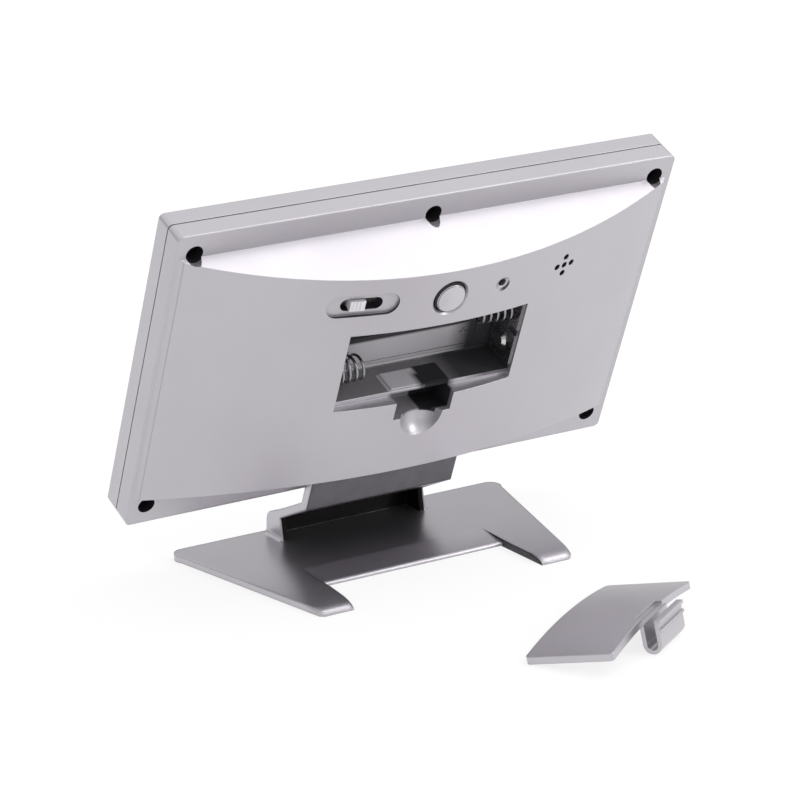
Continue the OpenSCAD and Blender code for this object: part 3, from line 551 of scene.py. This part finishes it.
@dataclass(frozen=True)
class StandPaint(SilverPaint):
    """Paint of the stand, with painted shade behind its tongue, in its neck and inside its fork.
    """

    name: str = "stand_paint"
    colour: Colour = (0.52, 0.5, 0.535)
    metal: float = 0.93
    roughness: float = 0.3
    edge_mm: float = 0.9
    fork_x: Point2 = (0.015, 0.047)
    fork_y: Limits = (0.004, 0.0275, 0.001)
    fork_blur: float = 0.0002
    fork_shade: float = 0.86
    fork_turn: Point2 = (0.5, 0.8)
    nose_mm: float = 2.6
    nose_y: Point2 = (0.0215, 0.0255)
    neck_box: Box = ((-0.0211, 0.0211, 0.0002), (-0.0256, -0.006, 0.0004),
                     (0.0015, 0.0105, 0.0002))
    neck_way: Point3 = (0.0, 0.6, -0.8)
    neck_turn: Point2 = (-0.25, 0.0)
    tongue_box: Box = (None, (5.5, 9.0, 0.1), (-3.2, 30.0, 0.2))
    # Colour and roughness of the painted shade on the tongue, in the neck and in the fork.
    dark_part: Colour = (0.004, 0.0035, 0.004)
    shade_roughness: float = 0.42
    tongue_shade: float = 0.7
    tongue_shade_spread: float = 0.025
    tongue_shade_mm: float = 4.0

    def edge(self, sheet: NodeSheet, place: Socket) -> Socket:
        """See SilverPaint.edge: here it grows towards the tips of the legs."""
        along = sheet.add("SeparateXYZ", {0: place}).outputs[1]
        return sheet.span(along, self.edge_mm * MM, self.nose_mm * MM, self.nose_y)

    def painted_shade(self, sheet: NodeSheet, place: Socket) -> Socket | None:
        """See SilverPaint.unpainted. Boxes in metres; the tongue's is in the case's frame."""
        # Painted shade: inside the neck, on the tongue's back in patches and on the fork's inner
        # sides.
        axes = sheet.add("SeparateXYZ", {0: place}).outputs
        inward = sheet.span(sheet.facing(self.neck_way), 0.0, 1.0, self.neck_turn)
        hollow = sheet.both(inward, sheet.inside(axes, self.neck_box))
        tongue = sheet.inside(sheet.axes(place, CASE.matrix()), self.tongue_box)
        patches = sheet.span(sheet.noise(self.tongue_shade_mm, 3, place), self.tongue_shade - self.tongue_shade_spread,
                             self.tongue_shade + self.tongue_shade_spread)
        fork = []
        for side in (-1, 1):
            turned = sheet.span(sheet.facing((-side, 0, 0)), 0.0, self.fork_shade, self.fork_turn)
            across = (*sorted(side * x for x in self.fork_x), self.fork_blur)
            fork.append(sheet.both(turned, sheet.inside(axes, (across, self.fork_y, None))))
        return sheet.either(hollow, sheet.both(tongue, patches), *fork)


@dataclass(frozen=True)
class MouldedPlastic(Finish):
    """Plain moulded plastic with a faint grain and flow shading."""

    name: str
    colour: Colour
    roughness: float = 0.45
    grain_mm: float = 0.35
    grain_depth_mm: float = 0.008
    mottle: float = 0.05
    mottle_mm: float = 9.0
    cloud_mm: float = 3.0
    rough_spread: float = 0.05

    def build(self, sheet: NodeSheet) -> Material:
        """See Finish.build."""
        place = sheet.place()
        gain = sheet.span(sheet.noise(self.mottle_mm, 3, place), 1 - self.mottle,
                          1 + self.mottle)
        grain = sheet.noise(self.grain_mm, 3, place)
        rough = sheet.span(sheet.noise(self.cloud_mm, 3, place),
                           self.roughness - self.rough_spread,
                           self.roughness + self.rough_spread)
        return sheet.finish({"Base Color": sheet.shade(self.colour, gain), "Roughness": rough,
                             "Normal": sheet.bump(grain, self.grain_depth_mm)})


@dataclass(frozen=True)
class PlatedMetal(Finish):
    """Rolled or drawn metal with a plating and fine drawing lines."""

    name: str
    colour: Colour
    roughness: float = 0.25
    line_mm: float = 0.12
    stretch: float = 12.0
    tarnish: float = 0.12
    cloud_mm: float = 2.5
    rough_spread: Point2 = (0.04, 0.08)
    line_depth_mm: float = 0.003

    def build(self, sheet: NodeSheet) -> Material:
        """See Finish.build."""
        place = sheet.place()
        long_way = sheet.add("Mapping", {"Vector": place,
                                         "Scale": (1 / self.stretch, 1, 1)}).outputs[0]
        lines = sheet.noise(self.line_mm, 2, long_way)
        clouds = sheet.noise(self.cloud_mm, 4, place)
        gain = sheet.span(clouds, 1 - self.tarnish, 1.0)
        smoother, rougher = self.rough_spread
        rough = sheet.span(clouds, self.roughness + rougher, self.roughness - smoother)
        return sheet.finish({"Base Color": sheet.shade(self.colour, gain), "Metallic": 1.0,
                             "Roughness": rough,
                             "Normal": sheet.bump(lines, self.line_depth_mm)})


@dataclass(frozen=True)
class ClearSheet(Finish):
    """A clear sheet that lets most light straight through."""

    name: str
    tint: Colour = (0.3, 0.32, 0.32)
    cover: float = 0.07
    roughness: float = 0.06
    ior: float = 1.49
    wave_mm: float = 14.0

    def build(self, sheet: NodeSheet) -> Material:
        """See Finish.build."""
        wave = sheet.noise(self.wave_mm, 1)
        sheet.material.surface_render_method = "BLENDED"
        return sheet.finish({
            "Base Color": (*self.tint, 1), "Roughness": self.roughness, "IOR": self.ior,
            "Alpha": self.cover, "Normal": sheet.bump(wave, 0.01, 0.3)})


@dataclass(frozen=True)
class ContactRubber(Finish):
    """Soft strip with alternating conducting and clear layers."""

    name: str = "contact_rubber"
    light: Colour = (0.55, 0.2, 0.3)
    dark: Colour = (0.05, 0.04, 0.05)
    layer_mm: float = 0.18
    waves_per_unit: float = 20.0

    def build(self, sheet: NodeSheet) -> Material:
        """See Finish.build."""
        scale = 1 / (self.layer_mm * MM) / self.waves_per_unit
        wave = sheet.add("TexWave", {"Vector": sheet.place(), "Scale": scale,
                                     "Distortion": 0.2}, bands_direction="X").outputs[1]
        return sheet.finish({"Base Color": sheet.blend(wave, self.light, self.dark),
                             "Roughness": 0.6, "Normal": sheet.bump(wave, 0.01)})


@dataclass(frozen=True)
class SolderMask(Finish):
    """Green board lacquer over copper tracks."""

    name: str = "solder_mask"
    dark_part: Colour = (0.02, 0.13, 0.05)
    track: Colour = (0.035, 0.22, 0.08)
    pitch_mm: float = 2.5
    track_edge: Point2 = (0.42, 0.5)

    def build(self, sheet: NodeSheet) -> Material:
        """See Finish.build."""
        cells = sheet.add("TexVoronoi", {"Vector": sheet.place(),
                                         "Scale": 1 / (self.pitch_mm * MM), "Randomness": 0.4},
                          distance="MANHATTAN", feature="F1")
        tracks = sheet.span(cells.outputs["Distance"], 0.0, 1.0, self.track_edge)
        return sheet.finish({"Base Color": sheet.blend(tracks, self.dark_part, self.track),
                             "Roughness": 0.28, "Coat Weight": 0.4,
                             "Normal": sheet.bump(tracks, 0.03)})


@dataclass(frozen=True)
class Reflector(Finish):
    """Matt grey-green film that backs the display's rear glass and its reflector."""

    name: str = "display_reflector"
    colour: Colour = (0.6, 0.65, 0.55)
    speck_mm: float = 0.25
    speck_gain: Point2 = (0.94, 1.05)

    def build(self, sheet: NodeSheet) -> Material:
        """See Finish.build."""
        speck = sheet.noise(self.speck_mm, 2)
        gain = sheet.span(speck, *self.speck_gain)
        return sheet.finish({"Base Color": sheet.shade(self.colour, gain), "Metallic": 0.15,
                             "Roughness": 0.5, "Normal": sheet.bump(speck, 0.004)})


CASE_PAINT = SilverPaint()
COVER_PAINT = ShellPaint()
STAND_PAINT = StandPaint()
DOOR_PAINT = SilverPaint(name="door_paint", roughness=0.3, grain_depth_mm=0.0003, edge_mm=0.4,
                         rim_mm=0.4)
BUTTON_PAINT = ButtonPaint()
KEY_PLASTIC = MouldedPlastic("key_plastic", (0.62, 0.6, 0.64), 0.34)
KNOB_PLASTIC = MouldedPlastic("knob_plastic", (0.74, 0.73, 0.76), 0.38)
DARK_PLASTIC = MouldedPlastic("dark_plastic", (0.02, 0.02, 0.022), 0.4)
WHITE_PLASTIC = MouldedPlastic("white_plastic", (0.72, 0.72, 0.69), 0.5)
EPOXY = MouldedPlastic("epoxy", (0.012, 0.012, 0.013), 0.22, 1.2, 0.03)
SLEEVE = MouldedPlastic("sleeve", (0.03, 0.04, 0.11), 0.3)
RED_LEAD = MouldedPlastic("red_lead", (0.4, 0.02, 0.015), 0.4)
BLACK_LEAD = MouldedPlastic("black_lead", (0.015, 0.015, 0.016), 0.42)
PRINT_BLACK = MouldedPlastic("print_black", (0.012, 0.012, 0.014), 0.55, 0.5, 0.002)
DISPLAY_INK = MouldedPlastic("display_ink", (0.018, 0.02, 0.024), 0.5, 0.4, 0.001)
BRIGHT_STEEL = PlatedMetal("bright_steel", (0.6, 0.59, 0.57), 0.3)
DARK_STEEL = PlatedMetal("dark_steel", (0.035, 0.035, 0.04), 0.42)
NICKEL = PlatedMetal("nickel_plate", (0.6, 0.595, 0.6), 0.24)
SPRING_WIRE = PlatedMetal("spring_wire", (0.36, 0.355, 0.37), 0.26, 0.06, 5.0)
BRASS = PlatedMetal("brass_disc", (0.62, 0.45, 0.16), 0.32)
WINDOW = ClearSheet("clear_window")
DISPLAY_GLASS = ClearSheet("display_glass", (0.3, 0.34, 0.28), 0.07, 0.12)
RUBBER = ContactRubber()
BOARD_MASK = SolderMask()
REFLECTOR = Reflector()


# ---------- mesh building ----------


class Piece:
    """A mesh under construction, in millimetres, that becomes one object."""

    def __init__(self, name: str) -> None:
        """Starts an empty mesh.

        Args:
            name: the object's name.
        """
        self.name = name
        self.mesh = bmesh.new()

    def prism(self, outline: Sequence[Point2], y0: float, y1: float) -> None:
        """Adds an XZ outline pushed along Y.

        Args:
            outline: corner points (x, z) in order.
            y0: first Y.
            y1: second Y.
        """
        near = [self.mesh.verts.new((x, y0, z)) for x, z in outline]
        far = [self.mesh.verts.new((x, y1, z)) for x, z in outline]
        self.mesh.faces.new(near)
        self.mesh.faces.new(far[::-1])
        for i in range(len(near)):
            j = (i + 1) % len(near)
            self.mesh.faces.new((near[j], near[i], far[i], far[j]))

    def band(self, outer: Sequence[Point2], inner: Sequence[Point2], y0: float,
             y1: float) -> None:
        """Adds the closed band between two XZ outlines with as many points.

        Args:
            outer: outer outline.
            inner: inner outline, point for point beside the outer one.
            y0: first Y.
            y1: second Y.
        """
        rings = [[self.mesh.verts.new((x, y, z)) for x, z in line]
                 for line, y in ((outer, y0), (inner, y0), (inner, y1), (outer, y1))]
        count = len(outer)
        for a in range(4):
            first, second = rings[a], rings[(a + 1) % 4]
            for i in range(count):
                j = (i + 1) % count
                self.mesh.faces.new((first[i], second[i], second[j], first[j]))

    def tube(self, path: Sequence[Vector], radius: float, sides: int) -> None:
        """Adds a round closed wire along a path.

        Args:
            path: points of the wire's centre line.
            radius: half the wire's thickness.
            sides: number of sides.
        """
        rings: list[list[bmesh.types.BMVert]] = []
        up = Vector((1, 0, 0))
        for i, point in enumerate(path):
            ahead = path[min(i + 1, len(path) - 1)] - path[max(i - 1, 0)]
            ahead.normalize()
            side = ahead.cross(up).normalized()
            out = side.cross(ahead)
            rings.append([self.mesh.verts.new(point + radius * (
                math.cos(k * math.tau / sides) * side + math.sin(k * math.tau / sides) * out))
                for k in range(sides)])
        for a, b in zip(rings, rings[1:]):
            for k in range(sides):
                m = (k + 1) % sides
                self.mesh.faces.new((a[k], a[m], b[m], b[k]))
        self.mesh.faces.new(rings[0][::-1])
        self.mesh.faces.new(rings[-1])

    def done(self, place: Matrix, body: str, slot: str, finish: Finish,
             smooth_deg: float = 35.0) -> bpy.types.Object:
        """Turns the mesh into an object that rides on a body.

        Args:
            place: transform from the mesh's millimetres to world metres.
            body: the body that carries the piece.
            slot: the record's material slot that the piece belongs to; not used.
            finish: the piece's finish.
            smooth_deg: edges sharper than this stay sharp.

        Returns:
            The new object.
        """
        bmesh.ops.recalc_face_normals(self.mesh, faces=self.mesh.faces[:])
        data = bpy.data.meshes.new(self.name)
        self.mesh.to_mesh(data)
        self.mesh.free()
        data.transform(place)
        data.shade_smooth()
        data.set_sharp_from_angle(angle=math.radians(smooth_deg))
        piece = bpy.data.objects.new(self.name, data)
        bpy.context.scene.collection.objects.link(piece)
        finish.dress(piece)
        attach(piece, body)
        LOG.info("made %s on %s", self.name, body)
        return piece


def rounded(w: float, h: float, r: float, centre: Point2 = (0.0, 0.0),
            steps: int = 6) -> list[Point2]:
    """Gives a rectangle with round corners.

    Args:
        w: width.
        h: height.
        r: corner radius.
        centre: middle of the rectangle.
        steps: points in each quarter turn, less one.

    Returns:
        The outline, anticlockwise.
    """
    line: list[Point2] = []
    for quarter, (sx, sz) in enumerate(((1, 1), (-1, 1), (-1, -1), (1, -1))):
        for k in range(steps + 1):
            turn = math.radians(90 * quarter + 90 * k / steps)
            line.append((centre[0] + sx * (w / 2 - r) + r * math.cos(turn),
                         centre[1] + sz * (h / 2 - r) + r * math.sin(turn)))
    return line


def wear(nodes: Iterable[str], finish: Finish) -> None:
    """Puts a finish on CAD nodes.

    Args:
        nodes: names of the nodes.
        finish: what they get.
    """
    for name in nodes:
        finish.dress(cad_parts[name])
        LOG.info("dressed %s in %s", name, finish.name)


# ---------- the clock's own assemblies ----------


@dataclass
class RearShell:
    """The rear cover, its screws and the marks moulded into the battery compartment."""

    cell_length: float = 42.0
    cell_height: float = 8.6
    ridge: float = 0.45
    ridge_height: float = 0.25
    floor: float = 0.8
    corner_r: Point2 = (1.2, 0.8)
    nub: Point3 = (1.4, 3.2, 0.4)
    nub_gap: float = 0.7
    sign_x: float = 17.0
    sign: Point3 = (2.2, 0.5, 0.1)
    stroke: Point3 = (0.5, 0.86, 0.1)
    stroke_off: float = 0.66
    fillet: float = 0.8
    fillet_half: float = 24.6
    low_wall: float = 36.9
    sunk: float = 0.05

    def build(self) -> None:
        """Dresses the shell and adds the cells' outlines and the fillet."""
        wear(["rear_cover"], COVER_PAINT)
        wear(["case_screws"], DARK_STEEL)
        self.outlines()
        self.corner()

    def corner(self) -> None:
        """Adds the small fillet between the compartment's floor and its lower wall."""
        piece = Piece("compartment_fillet")
        r = self.fillet
        curve = [(-self.floor - r + r * math.sin(a), self.low_wall + r - r * math.cos(a))
                 for a in (math.radians(15 * k) for k in range(7))]
        piece.prism([(self.sunk - self.floor, self.low_wall - self.sunk), *curve],
                    -self.fillet_half, self.fillet_half)
        piece.done(CASE.matrix() @ Matrix.Rotation(-math.pi / 2, 4, "Z"), "case",
                   "case_plastic", COVER_PAINT)

    def outlines(self) -> None:
        """Adds a raised outline with its end nub for each cell, and its two end marks."""
        piece = Piece("cell_outlines")
        y0, y1 = self.floor - self.sunk, self.floor + self.ridge_height
        for row, way in zip(CELL_ROWS, (-1, 1)):
            outer, inner = (rounded(self.cell_length - less, self.cell_height - less, r, (0, row))
                            for less, r in zip((0, 2 * self.ridge), self.corner_r))
            piece.band(outer, inner, y0, y1)
            nub = way * (self.cell_length / 2 + self.nub_gap)
            piece.prism(rounded(*self.nub, (nub, row), 3), y0, y1)
            plus, minus = way * self.sign_x, -way * self.sign_x
            piece.prism(rounded(*self.sign, (minus, row), 2), y0, y1)
            piece.prism(rounded(*self.sign, (plus, row), 2), y0, y1)
            for side in (-self.stroke_off, self.stroke_off):
                piece.prism(rounded(*self.stroke, (plus, row + side), 2), y0, y1)
        piece.done(CASE.matrix(), "case", "case_plastic", COVER_PAINT)


@dataclass
class FrontShell:
    """The bezel with its clear window and the black mask printed behind it."""

    mask_outer: Point3 = (117.4, 53.4, 1.8)
    mask_inner: Point3 = (103.0, 41.0, 2.4)
    window_z: float = 51.0
    mask_y: Point2 = (-8.82, -8.77)

    def build(self) -> None:
        """Dresses the shell and adds the mask."""
        wear(["front_bezel"], CASE_PAINT)
        wear(["display_lens"], WINDOW)
        piece = Piece("window_mask")
        piece.band(rounded(*self.mask_outer, (0, self.window_z)),
                   rounded(*self.mask_inner, (0, self.window_z)), *self.mask_y)
        piece.done(CASE.matrix(), "case", "clear_window", PRINT_BLACK)


class Segment(Enum):
    """The seven bars of a digit, by place."""

    TOP = "a"
    UPPER_RIGHT = "b"
    LOWER_RIGHT = "c"
    BOTTOM = "d"
    LOWER_LEFT = "e"
    UPPER_LEFT = "f"
    MIDDLE = "g"


class DigitInk(Piece):
    """The dark digits, dots and dash of the display, as one mesh."""

    LIT: dict[str, str] = {
        "0": "abcdef", "1": "bc", "2": "abdeg", "3": "abcdg", "4": "bcfg", "5": "acdfg",
        "6": "acdefg", "7": "abc", "8": "abcdefg", "9": "abcdfg"}
    PITCH, WIDTH, THICK = 0.74, 0.54, 0.115  # shares of a digit's height
    GAP, CORNER = 0.12, 0.3  # shares of a bar's or dot's size

    def __init__(self, name: str, ink_y: Point2, slant: float) -> None:
        """Starts an empty mesh.

        Args:
            name: the object's name.
            ink_y: the two ends of the ink in Y.
            slant: how far the digits lean in X for each step up.
        """
        super().__init__(name)
        self.ink_y = ink_y
        self.slant = slant

    def number(self, text: str, low: Point2, height: float) -> None:
        """Adds digits side by side.

        Args:
            text: the digits.
            low: lower left corner of the first digit.
            height: height of a digit.
        """
        for index, digit in enumerate(text):
            self.digit(digit, (low[0] + index * height * self.PITCH, low[1]), height)

    def digit(self, digit: str, low: Point2, height: float) -> None:
        """Adds the lit bars of one digit.

        Args:
            digit: which digit.
            low: its lower left corner.
            height: its height.
        """
        width, thick = height * self.WIDTH, height * self.THICK
        half = height / 2
        flat = {Segment.TOP: height - thick / 2, Segment.MIDDLE: half,
                Segment.BOTTOM: thick / 2}
        for bar in Segment:
            if bar.value not in self.LIT[digit]:
                continue
            if bar in flat:
                middle, long_x = (width / 2, flat[bar]), True
            else:
                right = bar in (Segment.UPPER_RIGHT, Segment.LOWER_RIGHT)
                upper = bar in (Segment.UPPER_RIGHT, Segment.UPPER_LEFT)
                middle = (width - thick / 2 if right else thick / 2,
                          half * 1.5 - thick * 0.25 if upper else half * 0.5 + thick * 0.25)
                long_x = False
            reach = (width if long_x else half + thick / 2) / 2 - thick * self.GAP
            self.bar(low, middle, reach, thick, long_x)

    def bar(self, low: Point2, middle: Point2, reach: float, thick: float,
            long_x: bool) -> None:
        """Adds one six-sided bar.

        Args:
            low: lower left corner of its digit.
            middle: centre of the bar from that corner.
            reach: half the bar's length.
            thick: the bar's thickness.
            long_x: whether it lies across.
        """
        t = thick / 2
        shape = [(-reach, 0), (-reach + t, -t), (reach - t, -t), (reach, 0), (reach - t, t),
                 (-reach + t, t)]
        if not long_x:
            shape = [(-z, x) for x, z in shape]
        points = []
        for x, z in shape:
            x, z = x + middle[0], z + middle[1]
            points.append((low[0] + x + self.slant * z, low[1] + z))
        self.prism(points, *self.ink_y)

    def colon(self, centre: Point2, spread: float, size: float) -> None:
        """Adds two square dots.

        Args:
            centre: middle between the dots.
            spread: half the distance between them.
            size: half a dot's side.
        """
        for side in (-1, 1):
            at = (centre[0] + self.slant * side * spread, centre[1] + side * spread)
            self.prism(rounded(2 * size, 2 * size, size * self.CORNER, at, 3), *self.ink_y)

    def dash(self, centre: Point2, length: float, thick: float) -> None:
        """Adds a short bar between two numbers, round its centre."""
        self.prism(rounded(length, thick, thick * self.CORNER, centre, 3), *self.ink_y)


@dataclass
class Display:
    """The liquid crystal display: glasses, backing, frame, strips and its dark digits."""

    ink_y: Point2 = (-6.74, -6.66)
    slant: float = 0.09
    big: float = 23.0
    middle: float = 12.5
    small: float = 8.0
    top_row: float = 46.0
    low_row: float = 33.2

    def build(self) -> None:
        """Dresses the display's layers and adds the digits."""
        wear(["lcd_front_glass"], DISPLAY_GLASS)
        wear(["lcd_rear_glass", "lcd_reflector"], REFLECTOR)
        wear(["lcd_frame"], WHITE_PLASTIC)
        wear(["zebra_strips"], RUBBER)
        ink = DigitInk("display_digits", self.ink_y, self.slant)
        ink.number("10", (-45.5, self.top_row), self.big)
        ink.number("08", (-5.5, self.top_row), self.big)
        ink.colon((-8.6, self.top_row + self.big / 2), 4.6, 1.3)
        ink.number("36", (31.6, self.top_row), self.middle)
        ink.number("11", (-44.0, self.low_row), self.small)
        ink.dash((-28.6, self.low_row + self.small / 2), 3.4, 1.0)
        ink.number("26", (-25.4, self.low_row), self.small)
        ink.number("06", (12.0, self.low_row), self.small)
        ink.colon((26.4, self.low_row + self.small / 2), 1.6, 0.6)
        ink.number("30", (28.4, self.low_row), self.small)
        ink.done(CASE.matrix(), "case", "display_glass", DISPLAY_INK)


@dataclass
class Electronics:
    """The circuit board and what is soldered or screwed to it."""

    def build(self) -> None:
        """Dresses the board and its parts."""
        wear(["circuit_board"], BOARD_MASK)
        wear(["board_screws", "slide_switch"], BRIGHT_STEEL)
        wear(["chip_blob"], EPOXY)
        wear(["crystal_can"], NICKEL)
        wear(["capacitors"], SLEEVE)
        wear(["key_switches", "light_switch", "reset_switch"], DARK_PLASTIC)
        wear(["sounder_disc"], BRASS)
        wear(["sounder_leads"], BLACK_LEAD)
        wear(["slide_switch_leads"], RED_LEAD)


@dataclass
class Controls:
    """The knob, button and pin at the back and the keys at the front."""

    knob_x: float = 23.8
    knob_z: float = 67.4
    knob_shift: float = 1.45
    ribs: int = 3
    rib_pitch: float = 0.95
    rib: Point3 = (0.45, 2.5, 0.15)
    rib_y: Point2 = (-0.2, 0.1)

    def build(self) -> None:
        """Dresses the controls and adds the knob's grip."""
        wear(["slide_knob"], KNOB_PLASTIC)
        wear(["light_button"], BUTTON_PAINT)
        wear(["mode_key", "set_key", "up_key", "down_key", "snooze_bar"], KEY_PLASTIC)
        wear(["reset_pin"], DARK_PLASTIC)
        self.grip()

    def grip(self) -> None:
        """Adds low ribs across the slide knob."""
        piece = Piece("knob_grip")
        for index in range(self.ribs):
            x = self.knob_shift + (index - (self.ribs - 1) / 2) * self.rib_pitch
            piece.prism(rounded(*self.rib, (x, 0.0), 3), *self.rib_y)
        piece.done(CASE.on_back(self.knob_x, self.knob_z), "slide_knob", "knob_plastic",
                   KNOB_PLASTIC)


@dataclass
class CellContacts:
    """The flat contacts and the two coil springs of the battery compartment."""

    wire: float = 0.7
    length: float = 10.0
    wide: float = 3.4
    narrow: float = 3.0
    turns: float = 4.25
    flat_turns: float = 0.75
    flat_pitch: float = 1.2
    start_deg: Point2 = (140.0, 40.0)
    steps: int = 40
    sides: int = 14
    seat_x: float = 25.24
    axis_y: float = 6.15

    def build(self) -> None:
        """Dresses the contacts and winds the springs."""
        wear(["terminal_negative", "terminal_positive", "link_contact"], NICKEL)
        low_start, high_start = (Matrix.Rotation(math.radians(turn), 4, "X")
                                 for turn in self.start_deg)
        lower = (Matrix.Translation((self.seat_x, self.axis_y, CELL_ROWS[0]))
                 @ Matrix.Rotation(math.pi, 4, "Y") @ low_start)
        upper = Matrix.Translation((-self.seat_x, self.axis_y, CELL_ROWS[1])) @ high_start
        for node, turn in (("lower_spring", lower), ("upper_spring", upper)):
            piece = Piece(node + "_wire")
            piece.tube(self.coil(), self.wire / 2, self.sides)
            coil = piece.done(CASE.matrix() @ turn, "case", "nickel", SPRING_WIRE, 60)
            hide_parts(node)

    def coil(self) -> list[Vector]:
        """Winds a spring whose first turn is nearly flat.

        Returns:
            Its centre line, from its seat outwards.
        """
        count = math.ceil((self.turns + self.flat_turns) * self.steps)
        line: list[Vector] = []
        for index in range(count + 1):
            turn = min(index / self.steps, self.turns + self.flat_turns)
            share = max(0.0, (turn - self.flat_turns) / self.turns)
            radius = self.wide + (self.narrow - self.wide) * share
            along = (self.wire / 2 + min(turn, self.flat_turns) * self.flat_pitch
                     + share * (self.length - self.wire - self.flat_pitch * self.flat_turns))
            line.append(Vector((along, radius * math.cos(math.tau * turn),
                                radius * math.sin(math.tau * turn))))
        return line


@dataclass
class LooseDoor:
    """The battery door that lies beside the clock."""

    def build(self) -> None:
        """Dresses the door."""
        wear(["battery_door"], DOOR_PAINT)


@dataclass
class Stand:
    """The forked foot plate with its neck and tongue."""

    def build(self) -> None:
        """Dresses the stand."""
        wear(["stand"], STAND_PAINT)


# ---------- studio ----------


@dataclass
class Softbox:
    """One soft square lamp that looks at a point on the clock."""

    name: str
    towards: Point3
    distance: float
    size: float
    watts: float

    def build(self, target: Vector) -> None:
        """Adds the lamp, turned to the target.

        Args:
            target: the point that it looks at.
        """
        data = bpy.data.lights.new(self.name, "AREA")
        data.shape = "SQUARE"
        data.size = self.size
        data.energy = self.watts
        lamp = bpy.data.objects.new(self.name, data)
        way = Vector(self.towards).normalized()
        lamp.location = target + way * self.distance
        lamp.rotation_euler = way.to_track_quat("Z", "Y").to_euler()
        bpy.context.scene.collection.objects.link(lamp)


@dataclass
class Studio:
    """A white floor, a white surround, soft lamps and the camera."""

    target: Point3 = (0.0, 0.01, 0.06)
    floor_half: float = 6.0
    horizon: float = 0.5
    zenith: float = 1.0
    glow_height: Point2 = (0.1, 0.75)
    floor_white: float = 0.92
    speck_mm: float = 2.0
    speck_dark: float = 0.995
    floor_glow: float = 0.75
    glow_strength: float = 1.04
    lamps: tuple[Softbox, ...] = (
        Softbox("ceiling_box", (-0.497, 0.273, 0.825), 2.4, 1.6, 14.8),
        Softbox("side_box", (-0.688, 0.654, 0.317), 1.3, 0.3, 3.4),
    )
    eye: Point3 = (0.4203, 0.6878, 0.3118)
    azimuth: float = 148.403
    elevation: float = 18.570
    roll: float = -0.3206
    lens: float = 153.47

    def build(self) -> None:
        """Shows colours as they are and sets floor, surround, lamps and camera."""
        bpy.context.scene.view_settings.view_transform = "Standard"
        self.floor()
        self.world()
        for lamp in self.lamps:
            lamp.build(Vector(self.target))
        self.camera()

    def floor(self) -> None:
        """Adds the floor, which shows white to the camera and keeps soft shadows."""
        half = self.floor_half
        data = bpy.data.meshes.new("floor")
        data.from_pydata([(-half, -half, 0), (half, -half, 0), (half, half, 0), (-half, half, 0)],
                         [], [(0, 1, 2, 3)])
        plane = bpy.data.objects.new("floor", data)
        bpy.context.scene.collection.objects.link(plane)
        sheet = NodeSheet("floor_white")
        speck = sheet.span(sheet.noise(self.speck_mm, 2), self.speck_dark, 1.0)
        colour = sheet.shade((self.floor_white,) * 3, speck)
        matt = sheet.add("BsdfDiffuse", {"Color": colour})
        glow = sheet.add("Emission", {"Color": (1, 1, 1, 1), "Strength": self.glow_strength})
        share = sheet.both(sheet.shown(), self.floor_glow)
        mix = sheet.add("MixShader", {0: share, 1: matt.outputs[0], 2: glow.outputs[0]})
        sheet.add("OutputMaterial", {0: mix.outputs[0]})
        data.materials.append(sheet.material)

    def world(self) -> None:
        """Surrounds the scene with pale light that is less near the horizon."""
        world = bpy.data.worlds.new("studio")
        bpy.context.scene.world = world
        world.use_nodes = True
        sheet = NodeSheet("", world.node_tree)
        way = sheet.add("TexCoord").outputs["Generated"]
        height = sheet.add("SeparateXYZ", {0: way}).outputs[2]
        low, high = self.glow_height
        glow = sheet.add("MapRange", {0: height, 1: low, 2: high, 3: self.horizon,
                                      4: self.zenith}, interpolation_type="SMOOTHSTEP").outputs[0]
        light = sheet.add("Background", {0: (1.0, 1.0, 1.0, 1.0), 1: glow})
        sheet.add("OutputWorld", {0: light.outputs[0]})

    def camera(self) -> None:
        """Adds the camera at the place and angle of the photograph."""
        az, el, roll = (math.radians(v) for v in (self.azimuth, self.elevation, self.roll))
        right = Vector((math.cos(az), math.sin(az), 0))
        back = Vector((math.sin(az) * math.cos(el), -math.cos(az) * math.cos(el), math.sin(el)))
        up = back.cross(right)
        turned_right = right * math.cos(roll) + up * math.sin(roll)
        turned_up = up * math.cos(roll) - right * math.sin(roll)
        data = bpy.data.cameras.new("photo_camera")
        data.lens = self.lens
        data.sensor_width = 36.0
        data.clip_start = 0.02
        camera = bpy.data.objects.new("photo_camera", data)
        axes = Matrix((turned_right, turned_up, back)).transposed().to_4x4()
        camera.matrix_world = Matrix.Translation(self.eye) @ axes
        bpy.context.scene.collection.objects.link(camera)
        bpy.context.scene.camera = camera


def main() -> None:
    """Builds the studio and every assembly in order."""
    logging.basicConfig(level=logging.INFO, format="%(name)s %(message)s")
    Studio().build()
    for assembly in (Stand(), RearShell(), FrontShell(), Display(), Electronics(), Controls(),
                     CellContacts(), LooseDoor()):
        LOG.info("building %s", type(assembly).__name__)
        assembly.build()
    bpy.context.view_layer.update()


if __name__ == "__main__":
    main()
